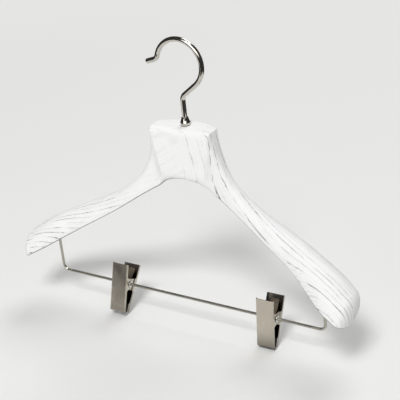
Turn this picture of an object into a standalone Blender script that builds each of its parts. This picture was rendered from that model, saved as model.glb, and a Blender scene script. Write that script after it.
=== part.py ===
"""Wooden suit hanger with a swivel hook and a trouser bar that carries two sprung clips.

Units are metres, +Z is up, +X runs to the right arm, and -Y is the front that the arms curve towards.
The origin is the saddle: the inner top of the hook, where the hanger rests on a rail.
"""
from math import acos, atan2, cos, hypot, pi, radians, sin, sqrt

import bmesh
import bpy
from mathutils import Vector

# Fits shared by all pieces
FIT_GAP = 0.0003
CUT_OVERRUN = 0.002
SEAM_GAP = 0.0003

# Hook: round wire bent to a ring on a straight stem
HOOK_WIRE_DIAMETER = 0.0050
HOOK_RING_RADIUS = 0.0248
HOOK_STEM_RISE = 0.0255
HOOK_NECK_RADIUS = 0.0082
HOOK_NECK_ANGLE = radians(40.0)
HOOK_RING_END = radians(164.0)
HOOK_TIP_RADIUS = 0.0066
HOOK_TIP_TURN = radians(56.0)
HOOK_TIP_LENGTH = 0.0088
HOOK_FLANGE_RADIUS = 0.0034
HOOK_FLANGE_THICKNESS = 0.0022
FLANGE_CHAMFER_SHARE = 0.25
WIRE_END_CHAMFER_SHARE = 0.25

# Swivel seat of the hook in the head
BUSH_RADIUS = 0.0043
BUSH_LENGTH = 0.0210
BUSH_SPIGOT_RADIUS = 0.0035
BUSH_SPIGOT_RISE = 0.0028
BUSH_CAVITY_RADIUS = 0.0038
BUSH_CAVITY_DEPTH = 0.0052
WASHER_RADIUS = 0.0035
WASHER_THICKNESS = 0.0007
FERRULE_HEIGHT = 0.0078
FERRULE_RADIUS = 0.0050
FERRULE_BELLY_SHARE = 0.36
FERRULE_FOOT_SHARE = 0.30
FERRULE_NECK_WALL = 0.0006
FERRULE_FLARE_POWER = 1.35

# Head of the hanger, where the two halves meet: flat in front, bowed at the back
HEAD_HALF_WIDTH = 0.0335
HEAD_HEIGHT = 0.0511
HEAD_THICKNESS = 0.0282
HEAD_FRONT_Y = -0.0150
HEAD_EDGE_RADIUS = 0.0055
HEAD_BACK_RADIUS = 0.0015

# Arms: reach and fall of the underside and the crown, and how far they sweep forward
ARM_REACH = 0.1895
UNDERSIDE_FALL = 0.0976
CROWN_FALL = 0.1288
ARM_SWEEP = 0.0445
NECK_THICKNESS = 0.0126
PADDLE_DEPTH = 0.0508
TIP_LENGTH = 0.0128

# Stations from the seam to the paddle. Underside points: shares of ARM_REACH and UNDERSIDE_FALL
UNDERSIDE_SHARES = (
    (0.0, 0.0), (0.070, 0.014), (0.119, 0.036), (0.146, 0.080), (0.173, 0.137), (0.211, 0.184),
    (0.291, 0.284), (0.459, 0.496), (0.647, 0.704), (0.836, 0.905), (0.928, 1.0),
)
# Crown points from the head's corner on: shares of the reach past the head, and of CROWN_FALL
CROWN_SHARES = (
    (0.0, 0.0), (0.019, 0.104), (0.041, 0.214), (0.077, 0.325), (0.146, 0.450),
    (0.318, 0.618), (0.565, 0.761), (0.845, 0.911), (0.960, 1.0),
)
# Front face at each station: shares of ARM_SWEEP
SWEEP_SHARES = (0.0, 0.0, 0.0, -0.066, -0.098, -0.075, -0.015, 0.136, 0.386, 0.868, 1.0)
# Depth at each station: the shares of the head's and the paddle's depth, the rest is the neck's
DEPTH_SHARES = (
    (1.0, 0.0), (0.80, 0.0), (0.38, 0.0), (0.06, 0.0), (0.01, 0.0), (0.0, 0.05),
    (0.0, 0.155), (0.0, 0.42), (0.0, 0.67), (0.0, 1.0), (0.0, 0.985),
)
# How far the square section of the head has turned into the crowned section of the arm
CROWNED_SHARES = (0.0, 0.0, 0.0, 0.05, 0.20, 0.50, 0.85, 1.0, 1.0, 1.0, 1.0)
CROWN_FRONT_RISE_SHARE = 0.95
CROWN_FRONT_RUN_SHARE = 0.51
CROWN_BACK_RISE_SHARE = 0.90
CROWN_BACK_RUN_SHARE = 0.47
TIP_PLAN_POWER = 2.1
TIP_SIDE_POWER = 2.07
TIP_BLUNT_SHARE = 0.35
TIP_SLOPE_SHARE = 0.05
CORNER_STATION = 2
LAST_STATION = 10
HEAD_STEPS = 5
ARM_STEPS = 34
TIP_STEPS = 9
FRONT_ARC_STEPS = 9
BACK_ARC_STEPS = 7

# Dowels across the seam, below the bush
DOWEL_RADIUS = 0.0030
DOWEL_LENGTH = 0.0280
DOWEL_DEPTHS = {"upper": 0.0310, "lower": 0.0422}

# Trouser bar: wire with both ends turned up into the arms
BAR_DIAMETER = 0.0030
BAR_HALF_SPAN = 0.1556
BAR_DROP = 0.1760
BAR_SETBACK = -0.0321
BAR_BEND_RADIUS = 0.0065
BAR_SEAT_DEPTH = 0.0120

# Clips on the bar: two sheet channels of one width, whose ears nest, on a hollow rivet
CLIP_WIDTH = 0.0189
CLIP_LENGTH = 0.0511
SHEET = 0.0007
FRONT_FACE_OFFSET = 0.0076
FRONT_HANDLE_RISE = 0.0214
FRONT_FLANGE = 0.0021
BACK_FACE_OFFSET = 0.0112
BACK_HANDLE_RISE = 0.0221
BACK_FLANGE = 0.0030
BACK_TOE_FLANGE = 0.0043
BACK_TOE_HEIGHT = 0.0095
JOGGLE_GAP = 0.0004
JOGGLE_RUN = 0.0014
SHEET_BEND_RADIUS = 0.0009
EAR_RADIUS = 0.0049
EAR_ROOT_UP = 0.0072
EAR_ROOT_DOWN = 0.0067
RIVET_WALL = 0.0005
RIVET_LIP_RADIUS = 0.0034
RIVET_LIP_THICKNESS = 0.0005
SPRING_THICKNESS = 0.0005
SPRING_WIDTH = 0.0124
SPRING_FRONT_RISE = 0.0160
SPRING_BACK_RISE = 0.0180
SPRING_TOP_WIDTH = 0.0084
SPRING_CORNER_RADIUS = 0.0020
PAD_HEIGHT = 0.0080
PAD_THICKNESS = 0.0030
BACK_PAD_TOE = 0.0030
PAD_FOOT_GAP = 0.0008
PAD_SIDE_GAP = 0.0006
CLIPS = {
    "left": {"place": -0.0786, "tilt": radians(18.0)},
    "right": {"place": 0.0942, "tilt": radians(5.5)},
}

# Sizes that follow from the ones above
HOOK_WIRE_RADIUS = HOOK_WIRE_DIAMETER / 2
BAR_RADIUS = BAR_DIAMETER / 2
RING_CENTRE_Z = HOOK_WIRE_RADIUS - HOOK_RING_RADIUS
NECK_TURN = pi / 2 - HOOK_NECK_ANGLE
NECK_STRAIGHT = (
    HOOK_RING_RADIUS * sin(HOOK_NECK_ANGLE) - HOOK_NECK_RADIUS * (1 - cos(NECK_TURN))
) / cos(HOOK_NECK_ANGLE)
NECK_RISE = HOOK_NECK_RADIUS * sin(NECK_TURN) + NECK_STRAIGHT * sin(HOOK_NECK_ANGLE)
RING_RISE = HOOK_STEM_RISE + NECK_RISE + HOOK_RING_RADIUS * cos(HOOK_NECK_ANGLE)
HEAD_TOP_Z = RING_CENTRE_Z - RING_RISE
BAR_Z = HEAD_TOP_Z - BAR_DROP
STEM_HOLE_RADIUS = HOOK_WIRE_RADIUS + FIT_GAP
RIVET_BORE = BAR_RADIUS + FIT_GAP
RIVET_RADIUS = RIVET_BORE + RIVET_WALL
EAR_STEP = SHEET + FIT_GAP
JOGGLE_START = EAR_RADIUS + JOGGLE_GAP
PAD_MEETING_Y = PAD_THICKNESS + SHEET + FIT_GAP - FRONT_FACE_OFFSET
BACK_PAD_SEAT = BACK_FACE_OFFSET - SHEET - FIT_GAP
BACK_PAD_FOOT = BACK_HANDLE_RISE - CLIP_LENGTH + PAD_FOOT_GAP
# The back plate leans until the foot of its pad meets the front pad
BACK_LEAN = atan2(BACK_PAD_FOOT, BACK_PAD_SEAT) + acos(
    (PAD_MEETING_Y + FIT_GAP + BACK_PAD_TOE) / hypot(BACK_PAD_SEAT, BACK_PAD_FOOT)
)

# Facets
HOOK_SIDES = 16
BAR_SIDES = 12
TURNED_SIDES = 28
DOWEL_SIDES = 16
RIVET_SIDES = 20
NECK_STEPS = 7
RING_STEPS = 36
HOOK_TIP_STEPS = 7
BAR_BEND_STEPS = 6
FERRULE_FOOT_STEPS = 5
FERRULE_FLARE_STEPS = 7
SHEET_BEND_STEPS = 3
EAR_ARC_STEPS = 9
SPRING_CORNER_STEPS = 4
SPRING_TURN_STEPS = 12
SEARCH_STEPS = 40


def clear_scene():
    for item in list(bpy.data.objects):
        bpy.data.objects.remove(item, do_unlink=True)


def material(name, colour, roughness, metallic):
    """A Principled material of one colour."""
    made = bpy.data.materials.new(name)
    made.use_nodes = True
    shader = made.node_tree.nodes["Principled BSDF"]
    shader.inputs["Base Color"].default_value = (*colour, 1.0)
    shader.inputs["Roughness"].default_value = roughness
    shader.inputs["Metallic"].default_value = metallic
    return made


def add_object(name, builder, finish, parent=None, sharp_angle=radians(32.0)):
    """Turn a bmesh into a named object whose faces point outwards."""
    bmesh.ops.recalc_face_normals(builder, faces=builder.faces)
    mesh = bpy.data.meshes.new(name)
    builder.to_mesh(mesh)
    builder.free()
    mesh.shade_smooth()
    mesh.set_sharp_from_angle(angle=sharp_angle)
    mesh.materials.append(finish)
    made = bpy.data.objects.new(name, mesh)
    bpy.context.scene.collection.objects.link(made)
    made.parent = parent
    return made


def add_cutter(name, builder, parent=None):
    """A hidden solid that only cuts or trims another one."""
    bmesh.ops.recalc_face_normals(builder, faces=builder.faces)
    mesh = bpy.data.meshes.new(name)
    builder.to_mesh(mesh)
    builder.free()
    made = bpy.data.objects.new(name, mesh)
    bpy.context.scene.collection.objects.link(made)
    made.parent = parent
    made.hide_render = True
    made.display_type = "WIRE"
    return made


def boolean(target, cutter, operation):
    modifier = target.modifiers.new(operation.lower(), "BOOLEAN")
    modifier.object = cutter
    modifier.operation = operation
    modifier.solver = "EXACT"


def loft(builder, rings):
    """Skin a list of rings that have equal numbers of points, and close both ends."""
    loops = [[builder.verts.new(point) for point in ring] for ring in rings]
    count = len(loops[0])
    for near, far in zip(loops, loops[1:]):
        for i in range(count):
            j = (i + 1) % count
            builder.faces.new((near[i], near[j], far[j], far[i]))
    builder.faces.new(reversed(loops[0]))
    builder.faces.new(loops[-1])


def extrude_outline(builder, outline, low_x, high_x):
    """Extrude a closed outline of (y, z) points along X."""
    loft(builder, [[Vector((x, y, z)) for y, z in outline] for x in (low_x, high_x)])


def turned(builder, profile, sides, along="Z"):
    """Turn a closed outline of (radius, height) points about an axis."""
    loops = []
    for i in range(sides):
        angle = 2 * pi * i / sides
        ring = []
        for radius, height in profile:
            across, up = radius * cos(angle), radius * sin(angle)
            place = (across, up, height) if along == "Z" else (height, across, up)
            ring.append(builder.verts.new(place))
        loops.append(ring)
    count = len(profile)
    for i in range(sides):
        near, far = loops[i], loops[(i + 1) % sides]
        for j in range(count):
            k = (j + 1) % count
            builder.faces.new((near[j], near[k], far[k], far[j]))


def cylinder(builder, radius, start, end, sides=TURNED_SIDES):
    """A closed cylinder between two points."""
    start, end = Vector(start), Vector(end)
    turn = (end - start).to_track_quat("Z", "Y").to_matrix()
    rings = []
    for centre in (start, end):
        ring = []
        for i in range(sides):
            angle = 2 * pi * i / sides
            ring.append(centre + turn @ Vector((radius * cos(angle), radius * sin(angle), 0.0)))
        rings.append(ring)
    loft(builder, rings)


def sweep_wire(builder, path, radii, sides):
    """Sweep a circle along a path that stays in a plane of constant Y."""
    rings = []
    for i, point in enumerate(path):
        before = path[max(i - 1, 0)]
        after = path[min(i + 1, len(path) - 1)]
        forward = (after - before).normalized()
        side = Vector((0.0, 1.0, 0.0))
        lift = forward.cross(side)
        ring = []
        for j in range(sides):
            angle = 2 * pi * (j + 0.5) / sides
            ring.append(point + radii[i] * (cos(angle) * side + sin(angle) * lift))
        rings.append(ring)
    loft(builder, rings)


def arc_points(centre, radius, start, end, steps):
    """Points of an arc in the XZ plane, both ends included."""
    points = []
    for i in range(steps + 1):
        angle = start + (end - start) * i / steps
        points.append(centre + radius * Vector((cos(angle), 0.0, sin(angle))))
    return points


def smooth_through(values, position):
    """Catmull-Rom curve through a list of numbers, read at a place between them."""
    last = len(values) - 1
    i = min(int(position), last - 1)
    t = position - i
    here, there = values[i], values[i + 1]
    before = values[i - 1] if i > 0 else 2 * here - there
    after = values[i + 2] if i + 2 <= last else 2 * there - here
    return 0.5 * (
        2 * here
        + (there - before) * t
        + (2 * before - 5 * here + 4 * there - after) * t ** 2
        + (3 * here - before - 3 * there + after) * t ** 3
    )


def straight_through(values, position):
    """Straight lines through a list of numbers, read at a place between them."""
    i = min(int(position), len(values) - 2)
    return values[i] + (values[i + 1] - values[i]) * (position - i)


def underside_point(station):
    across = smooth_through([share[0] for share in UNDERSIDE_SHARES], station)
    down = smooth_through([share[1] for share in UNDERSIDE_SHARES], station)
    return Vector((ARM_REACH * across, HEAD_TOP_Z - HEAD_HEIGHT - UNDERSIDE_FALL * down))


def crown_point(station):
    """Flat over the head to its corner, then down the side and along the arm."""
    if station <= CORNER_STATION:
        return Vector((HEAD_HALF_WIDTH * station / CORNER_STATION, HEAD_TOP_Z))
    place = station - CORNER_STATION
    across = smooth_through([share[0] for share in CROWN_SHARES], place)
    down = smooth_through([share[1] for share in CROWN_SHARES], place)
    reach = ARM_REACH - HEAD_HALF_WIDTH
    return Vector((HEAD_HALF_WIDTH + reach * across, HEAD_TOP_Z - CROWN_FALL * down))


def front_and_back(station):
    """Y of the front and the back face."""
    front = HEAD_FRONT_Y - ARM_SWEEP * smooth_through(SWEEP_SHARES, station)
    head = smooth_through([share[0] for share in DEPTH_SHARES], station)
    paddle = smooth_through([share[1] for share in DEPTH_SHARES], station)
    depth = HEAD_THICKNESS * head + PADDLE_DEPTH * paddle + NECK_THICKNESS * (1 - head - paddle)
    return front, front + depth


def section(under, crown, front, back, crowned):
    """Closed section from the underside to the crown, with its corners rounded."""
    height = (crown - under).length
    rise = (crown - under) / height
    depth = back - front
    front_rise = HEAD_EDGE_RADIUS * (1 - crowned) + CROWN_FRONT_RISE_SHARE * height * crowned
    front_run = HEAD_EDGE_RADIUS * (1 - crowned) + CROWN_FRONT_RUN_SHARE * depth * crowned
    back_rise = HEAD_BACK_RADIUS * (1 - crowned) + CROWN_BACK_RISE_SHARE * height * crowned
    back_run = HEAD_BACK_RADIUS * (1 - crowned) + CROWN_BACK_RUN_SHARE * depth * crowned
    flat = [(front, 0.0)]
    for i in range(FRONT_ARC_STEPS):
        angle = pi / 2 * i / (FRONT_ARC_STEPS - 1)
        flat.append((front + front_run * (1 - cos(angle)), height - front_rise * (1 - sin(angle))))
    for i in range(BACK_ARC_STEPS):
        angle = pi / 2 * i / (BACK_ARC_STEPS - 1)
        flat.append((back - back_run * (1 - sin(angle)), height - back_rise * (1 - cos(angle))))
    flat.append((back, 0.0))
    return [Vector((under.x + rise.x * up, y, under.y + rise.y * up)) for y, up in flat]


def arm_sections():
    """All sections of the right half, from the seam to the tip of the paddle."""
    places = [CORNER_STATION * i / (HEAD_STEPS - 1) for i in range(HEAD_STEPS)]
    arm_stations = LAST_STATION - CORNER_STATION
    places += [CORNER_STATION + arm_stations * (i + 1) / ARM_STEPS for i in range(ARM_STEPS)]
    rings = []
    for place in places:
        front, back = front_and_back(place)
        crowned = min(max(straight_through(CROWNED_SHARES, place), 0.0), 1.0)
        rings.append(section(underside_point(place), crown_point(place), front, back, crowned))
    for point in rings[0]:
        point.x = SEAM_GAP / 2
    return rings + tip_sections()


def tip_sections():
    """Sections past the last station, which round the paddle's end in plan and from the side."""
    under, crown = underside_point(LAST_STATION), crown_point(LAST_STATION)
    before = underside_point(LAST_STATION - TIP_SLOPE_SHARE)
    run = (under - before).normalized()
    front, back = front_and_back(LAST_STATION)
    front_before, back_before = front_and_back(LAST_STATION - TIP_SLOPE_SHARE)
    slope = 1 / (under.x - before.x)
    front_slope = (front - front_before) * slope
    back_slope = (back - back_before) * slope
    rings = []
    for i in range(TIP_STEPS):
        share = sin(pi / 2 * (i + 1) / (TIP_STEPS + TIP_BLUNT_SHARE))
        plan = (1 - share ** TIP_PLAN_POWER) ** (1 / TIP_PLAN_POWER)
        side = (1 - share ** TIP_SIDE_POWER) ** (1 / TIP_SIDE_POWER)
        foot = under + run * TIP_LENGTH * share
        forward = foot.x - under.x
        low_y, high_y = front + front_slope * forward, back + back_slope * forward
        middle = (low_y + high_y) / 2
        half = (high_y - low_y) / 2 * plan
        rings.append(section(foot, foot + (crown - under) * side, middle - half, middle + half, 1.0))
    return rings


def station_at(across):
    """The station whose underside point lies at a given X."""
    low, high = 0.0, float(LAST_STATION)
    for _ in range(SEARCH_STEPS):
        middle = (low + high) / 2
        if underside_point(middle).x < across:
            low = middle
        else:
            high = middle
    return low


BAR_LEG_TOP = underside_point(station_at(BAR_HALF_SPAN)).y + BAR_SEAT_DEPTH


def add_arms(finish):
    """Left and right wooden halves, glued along the seam in the middle of the head."""
    for name, side in (("left_arm", -1), ("right_arm", 1)):
        builder = bmesh.new()
        rings = [[Vector((side * p.x, p.y, p.z)) for p in ring] for ring in arm_sections()]
        loft(builder, rings)
        arm = add_object(name, builder, finish)
        holes = bmesh.new()
        bush_floor = HEAD_TOP_Z - BUSH_LENGTH - FIT_GAP
        cylinder(
            holes, BUSH_RADIUS + FIT_GAP,
            (0.0, 0.0, bush_floor), (0.0, 0.0, HEAD_TOP_Z + CUT_OVERRUN),
        )
        for depth in DOWEL_DEPTHS.values():
            level = HEAD_TOP_Z - depth
            reach = DOWEL_LENGTH / 2 + FIT_GAP
            cylinder(holes, DOWEL_RADIUS + FIT_GAP, (-reach, 0.0, level), (reach, 0.0, level))
        cylinder(
            holes, BAR_RADIUS + FIT_GAP,
            (side * BAR_HALF_SPAN, BAR_SETBACK, BAR_Z + BAR_BEND_RADIUS),
            (side * BAR_HALF_SPAN, BAR_SETBACK, BAR_LEG_TOP + FIT_GAP),
        )
        boolean(arm, add_cutter(name + "_holes", holes), "DIFFERENCE")


def add_dowels(finish):
    """Hidden dowels that line up the two halves."""
    for place, depth in DOWEL_DEPTHS.items():
        level = HEAD_TOP_Z - depth
        builder = bmesh.new()
        cylinder(
            builder, DOWEL_RADIUS,
            (-DOWEL_LENGTH / 2, 0.0, level), (DOWEL_LENGTH / 2, 0.0, level), sides=DOWEL_SIDES,
        )
        add_object(place + "_dowel", builder, finish)


def hook_path():
    """Centre line of the hook and its radius at each point, from the flange up to the tip."""
    flange_top = HEAD_TOP_Z - BUSH_LENGTH + BUSH_CAVITY_DEPTH - WASHER_THICKNESS - 2 * FIT_GAP
    flange_foot = flange_top - HOOK_FLANGE_THICKNESS
    edge = HOOK_FLANGE_THICKNESS * FLANGE_CHAMFER_SHARE
    points = [Vector((0.0, 0.0, flange_foot)), Vector((0.0, 0.0, flange_foot + edge))]
    points += [Vector((0.0, 0.0, flange_top - edge)), Vector((0.0, 0.0, flange_top))]
    points += [Vector((0.0, 0.0, flange_top))]
    radii = [HOOK_FLANGE_RADIUS - edge, HOOK_FLANGE_RADIUS, HOOK_FLANGE_RADIUS]
    radii += [HOOK_FLANGE_RADIUS - edge, HOOK_WIRE_RADIUS]
    stem_top = HEAD_TOP_Z + HOOK_STEM_RISE
    neck_centre = Vector((HOOK_NECK_RADIUS, 0.0, stem_top))
    bends = arc_points(neck_centre, HOOK_NECK_RADIUS, pi, pi - NECK_TURN, NECK_STEPS)
    ring_centre = Vector((0.0, 0.0, RING_CENTRE_Z))
    ring_start = HOOK_NECK_ANGLE - pi / 2
    bends += arc_points(ring_centre, HOOK_RING_RADIUS, ring_start, HOOK_RING_END, RING_STEPS)
    out = Vector((cos(HOOK_RING_END), 0.0, sin(HOOK_RING_END)))
    tip_centre = ring_centre + out * (HOOK_RING_RADIUS + HOOK_TIP_RADIUS)
    tip_start = HOOK_RING_END - pi
    tip_end = tip_start - HOOK_TIP_TURN
    bends += arc_points(tip_centre, HOOK_TIP_RADIUS, tip_start, tip_end, HOOK_TIP_STEPS)[1:]
    heading = Vector((sin(tip_end), 0.0, -cos(tip_end)))
    round_off = HOOK_WIRE_RADIUS * WIRE_END_CHAMFER_SHARE
    end = bends[-1] + heading * (HOOK_TIP_LENGTH - round_off)
    points += bends + [end, end + heading * round_off]
    radii += [HOOK_WIRE_RADIUS] * (len(bends) + 1) + [HOOK_WIRE_RADIUS - round_off]
    return points, radii


def add_hook(finish):
    points, radii = hook_path()
    builder = bmesh.new()
    sweep_wire(builder, points, radii, HOOK_SIDES)
    add_object("hook", builder, finish)


def add_swivel_seat(bush_finish, ferrule_finish):
    """Bush pressed into the head, the washer on the hook's flange, and the ferrule over the spigot."""
    spigot_top = HEAD_TOP_Z + BUSH_SPIGOT_RISE
    floor = HEAD_TOP_Z - BUSH_LENGTH
    shoulder = floor + BUSH_CAVITY_DEPTH
    builder = bmesh.new()
    turned(builder, (
        (STEM_HOLE_RADIUS, spigot_top), (STEM_HOLE_RADIUS, shoulder),
        (BUSH_CAVITY_RADIUS, shoulder), (BUSH_CAVITY_RADIUS, floor),
        (BUSH_RADIUS, floor), (BUSH_RADIUS, HEAD_TOP_Z),
        (BUSH_SPIGOT_RADIUS, HEAD_TOP_Z), (BUSH_SPIGOT_RADIUS, spigot_top),
    ), TURNED_SIDES)
    add_object("hook_bush", builder, bush_finish)

    builder = bmesh.new()
    washer_top = shoulder - FIT_GAP
    washer_foot = washer_top - WASHER_THICKNESS
    turned(builder, (
        (STEM_HOLE_RADIUS, washer_top), (STEM_HOLE_RADIUS, washer_foot),
        (WASHER_RADIUS, washer_foot), (WASHER_RADIUS, washer_top),
    ), TURNED_SIDES)
    add_object("hook_washer", builder, bush_finish)

    builder = bmesh.new()
    socket = BUSH_SPIGOT_RADIUS + FIT_GAP
    foot = HEAD_TOP_Z + FIT_GAP
    top = foot + FERRULE_HEIGHT
    belly = foot + FERRULE_HEIGHT * FERRULE_BELLY_SHARE
    neck = STEM_HOLE_RADIUS + FERRULE_NECK_WALL
    foot_radius = socket + (FERRULE_RADIUS - socket) * FERRULE_FOOT_SHARE
    outline = [
        (STEM_HOLE_RADIUS, top), (STEM_HOLE_RADIUS, spigot_top + FIT_GAP),
        (socket, spigot_top + FIT_GAP), (socket, foot),
        (foot_radius, foot),
    ]
    for i in range(1, FERRULE_FOOT_STEPS + 1):
        angle = pi / 2 * i / FERRULE_FOOT_STEPS
        outline.append((
            foot_radius + (FERRULE_RADIUS - foot_radius) * sin(angle),
            belly - (belly - foot) * cos(angle),
        ))
    for i in range(1, FERRULE_FLARE_STEPS + 1):
        share = i / FERRULE_FLARE_STEPS
        swell = (FERRULE_RADIUS - neck) * (1 - share) ** FERRULE_FLARE_POWER
        outline.append((neck + swell, belly + (top - belly) * share))
    turned(builder, outline, TURNED_SIDES)
    add_object("hook_ferrule", builder, ferrule_finish)


def add_bar(finish):
    """One wire: up out of the left arm's socket, across, and up into the right one."""
    leg_top = BAR_LEG_TOP
    corner = BAR_HALF_SPAN - BAR_BEND_RADIUS
    level = BAR_Z + BAR_BEND_RADIUS
    round_off = BAR_RADIUS * WIRE_END_CHAMFER_SHARE
    shift = Vector((0.0, BAR_SETBACK, 0.0))
    points = [Vector((-BAR_HALF_SPAN, 0.0, leg_top)), Vector((-BAR_HALF_SPAN, 0.0, leg_top - round_off))]
    points += arc_points(Vector((-corner, 0.0, level)), BAR_BEND_RADIUS, pi, 1.5 * pi, BAR_BEND_STEPS)
    points += arc_points(Vector((corner, 0.0, level)), BAR_BEND_RADIUS, 1.5 * pi, 2 * pi, BAR_BEND_STEPS)
    points += [Vector((BAR_HALF_SPAN, 0.0, leg_top - round_off)), Vector((BAR_HALF_SPAN, 0.0, leg_top))]
    radii = [BAR_RADIUS] * len(points)
    radii[0] = radii[-1] = BAR_RADIUS - round_off
    builder = bmesh.new()
    sweep_wire(builder, [point + shift for point in points], radii, BAR_SIDES)
    add_object("trouser_bar", builder, finish)


def channel_outline(width, offset, depth, facing, ear_step):
    """Bent sheet seen from above: a web at offset and two flanges that run back towards the pivot.

    facing is -1 for a web in front of the pivot and 1 for one behind it. Beyond a joggle the ears
    stand in from the flanges by ear_step, so that they fit between the other plate's ears.
    """
    half = width / 2
    ear = half - ear_step
    bend = SHEET_BEND_RADIUS
    inner_bend = bend - SHEET
    outer, inner = [], []
    for i in range(SHEET_BEND_STEPS + 1):
        angle = pi / 2 * i / SHEET_BEND_STEPS
        outer.append((half - bend + bend * sin(angle), offset - bend + bend * cos(angle)))
        inner.append((half - bend + inner_bend * sin(angle), offset - bend + inner_bend * cos(angle)))
    end = offset - depth
    ear_end = [(ear, end), (ear - SHEET, end)]
    if ear_step:
        ramp = JOGGLE_START + JOGGLE_RUN
        ear_end.insert(0, (ear, JOGGLE_START))
        ear_end.insert(0, (half, ramp))
        ear_end += [(ear - SHEET, JOGGLE_START), (half - SHEET, ramp)]
    right = outer + ear_end + list(reversed(inner))
    left = [(-x, y) for x, y in reversed(right)]
    return [(x, facing * y) for x, y in right + left]


def add_channel(name, offset, facing, low, high, side_outline, ear_step, finish, parent, lean):
    """A plate: a bent channel trimmed to its side outline, with the rivet's hole through its ears."""
    builder = bmesh.new()
    outline = channel_outline(CLIP_WIDTH, offset, offset + EAR_RADIUS, facing, ear_step)
    loft(builder, [[Vector((x, y, z)) for x, y in outline] for z in (low, high)])
    plate = add_object(name, builder, finish, parent)
    plate.rotation_euler.x = lean
    trim = bmesh.new()
    half = CLIP_WIDTH / 2 + CUT_OVERRUN
    extrude_outline(trim, side_outline, -half, half)
    trimmer = add_cutter(name + "_side", trim, parent)
    trimmer.rotation_euler.x = lean
    boolean(plate, trimmer, "INTERSECT")
    hole = bmesh.new()
    cylinder(hole, RIVET_RADIUS + FIT_GAP, (-half, 0.0, 0.0), (half, 0.0, 0.0), sides=RIVET_SIDES)
    holer = add_cutter(name + "_hole", hole, parent)
    holer.rotation_euler.x = lean
    boolean(plate, holer, "DIFFERENCE")
    return plate


def plate_side(offset, facing, low, high, flange, toe):
    """Side outline of a plate: flanges along the web, and an ear that is round about the pivot.

    toe is the part of the outline below the jaw's flange, or empty where that flange runs to the foot.
    """
    face, edge = offset + CUT_OVERRUN, offset - flange
    top, foot = high + CUT_OVERRUN, low - CUT_OVERRUN

    def ear_angle(root):
        """Angle at which a straight ear edge from its root touches the round end."""
        return atan2(root, edge) + acos(EAR_RADIUS / hypot(root, edge))

    start, end = -ear_angle(EAR_ROOT_DOWN), ear_angle(EAR_ROOT_UP) - 2 * pi
    outline = [(face, foot)] + (toe or [(edge, foot)]) + [(edge, -EAR_ROOT_DOWN)]
    for i in range(EAR_ARC_STEPS + 1):
        angle = start + (end - start) * i / EAR_ARC_STEPS
        outline.append((EAR_RADIUS * cos(angle), EAR_RADIUS * sin(angle)))
    outline += [(edge, EAR_ROOT_UP), (edge, top), (face, top)]
    return [(facing * y, z) for y, z in outline]


def leg_points(top, foot):
    """Points round the upper corners of a straight spring leg; its foot comes with the turn."""
    points = []
    for i in range(SPRING_CORNER_STEPS + 1):
        drop = SPRING_CORNER_RADIUS * (1 - cos(pi / 2 * i / SPRING_CORNER_STEPS))
        points.append(top.lerp(foot, drop / (foot - top).length))
    return points


def spring_half_width(from_end, leg):
    """Half the width of the spring: its legs taper to round-cornered tops."""
    width = SPRING_TOP_WIDTH + (SPRING_WIDTH - SPRING_TOP_WIDTH) * min(from_end / leg, 1.0)
    short = max(SPRING_CORNER_RADIUS - from_end, 0.0)
    return width / 2 - SPRING_CORNER_RADIUS + sqrt(SPRING_CORNER_RADIUS ** 2 - short ** 2)


def spring_path():
    """Middle line of the flat spring in the YZ plane: front leg, round under the rivet, back leg."""
    turn = RIVET_RADIUS + FIT_GAP + SPRING_THICKNESS / 2
    seat = SHEET + FIT_GAP + SPRING_THICKNESS / 2
    front_y = -(FRONT_FACE_OFFSET - seat)
    back_offset = BACK_FACE_OFFSET - seat
    back_y = back_offset * cos(BACK_LEAN) + SPRING_BACK_RISE * sin(BACK_LEAN)
    back_z = -back_offset * sin(BACK_LEAN) + SPRING_BACK_RISE * cos(BACK_LEAN)
    front_top = Vector((front_y, SPRING_FRONT_RISE))
    back_top = Vector((back_y, back_z))

    def tangent_angle(point, side):
        """Angle on the turn at which a straight leg from the point touches it."""
        return atan2(point.y, point.x) + side * (pi / 2 - atan2(turn, sqrt(point.length ** 2 - turn ** 2)))

    start = tangent_angle(front_top, 1)
    end = tangent_angle(back_top, -1)
    sweep = (end - start) % (2 * pi)
    front_foot = turn * Vector((cos(start), sin(start)))
    back_foot = turn * Vector((cos(end), sin(end)))
    path = leg_points(front_top, front_foot)
    for i in range(SPRING_TURN_STEPS + 1):
        angle = start + sweep * i / SPRING_TURN_STEPS
        path.append(turn * Vector((cos(angle), sin(angle))))
    path += reversed(leg_points(back_top, back_foot))
    return path, (front_top - front_foot).length


def add_spring(name, finish, parent):
    """Flat spring whose tapered legs press on both handles."""
    path, leg = spring_path()
    lengths = [0.0]
    for near, far in zip(path, path[1:]):
        lengths.append(lengths[-1] + (far - near).length)
    total = lengths[-1]
    rings = []
    builder = bmesh.new()
    for i, point in enumerate(path):
        before, after = path[max(i - 1, 0)], path[min(i + 1, len(path) - 1)]
        forward = (after - before).normalized()
        across = Vector((-forward.y, forward.x)) * SPRING_THICKNESS / 2
        width = spring_half_width(min(lengths[i], total - lengths[i]), leg)
        inner, outer = point + across, point - across
        rings.append([
            Vector((-width, inner.x, inner.y)), Vector((width, inner.x, inner.y)),
            Vector((width, outer.x, outer.y)), Vector((-width, outer.x, outer.y)),
        ])
    loft(builder, rings)
    add_object(name, builder, finish, parent)


def add_rivet(name, finish, parent):
    """Hollow rivet that slides on the bar, with a rolled lip outside each ear."""
    inside = CLIP_WIDTH / 2 + FIT_GAP
    outside = inside + RIVET_LIP_THICKNESS
    builder = bmesh.new()
    turned(builder, (
        (RIVET_BORE, -outside), (RIVET_BORE, outside),
        (RIVET_LIP_RADIUS, outside), (RIVET_LIP_RADIUS, inside),
        (RIVET_RADIUS, inside), (RIVET_RADIUS, -inside),
        (RIVET_LIP_RADIUS, -inside), (RIVET_LIP_RADIUS, -outside),
    ), RIVET_SIDES, along="X")
    add_object(name, builder, finish, parent)


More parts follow.
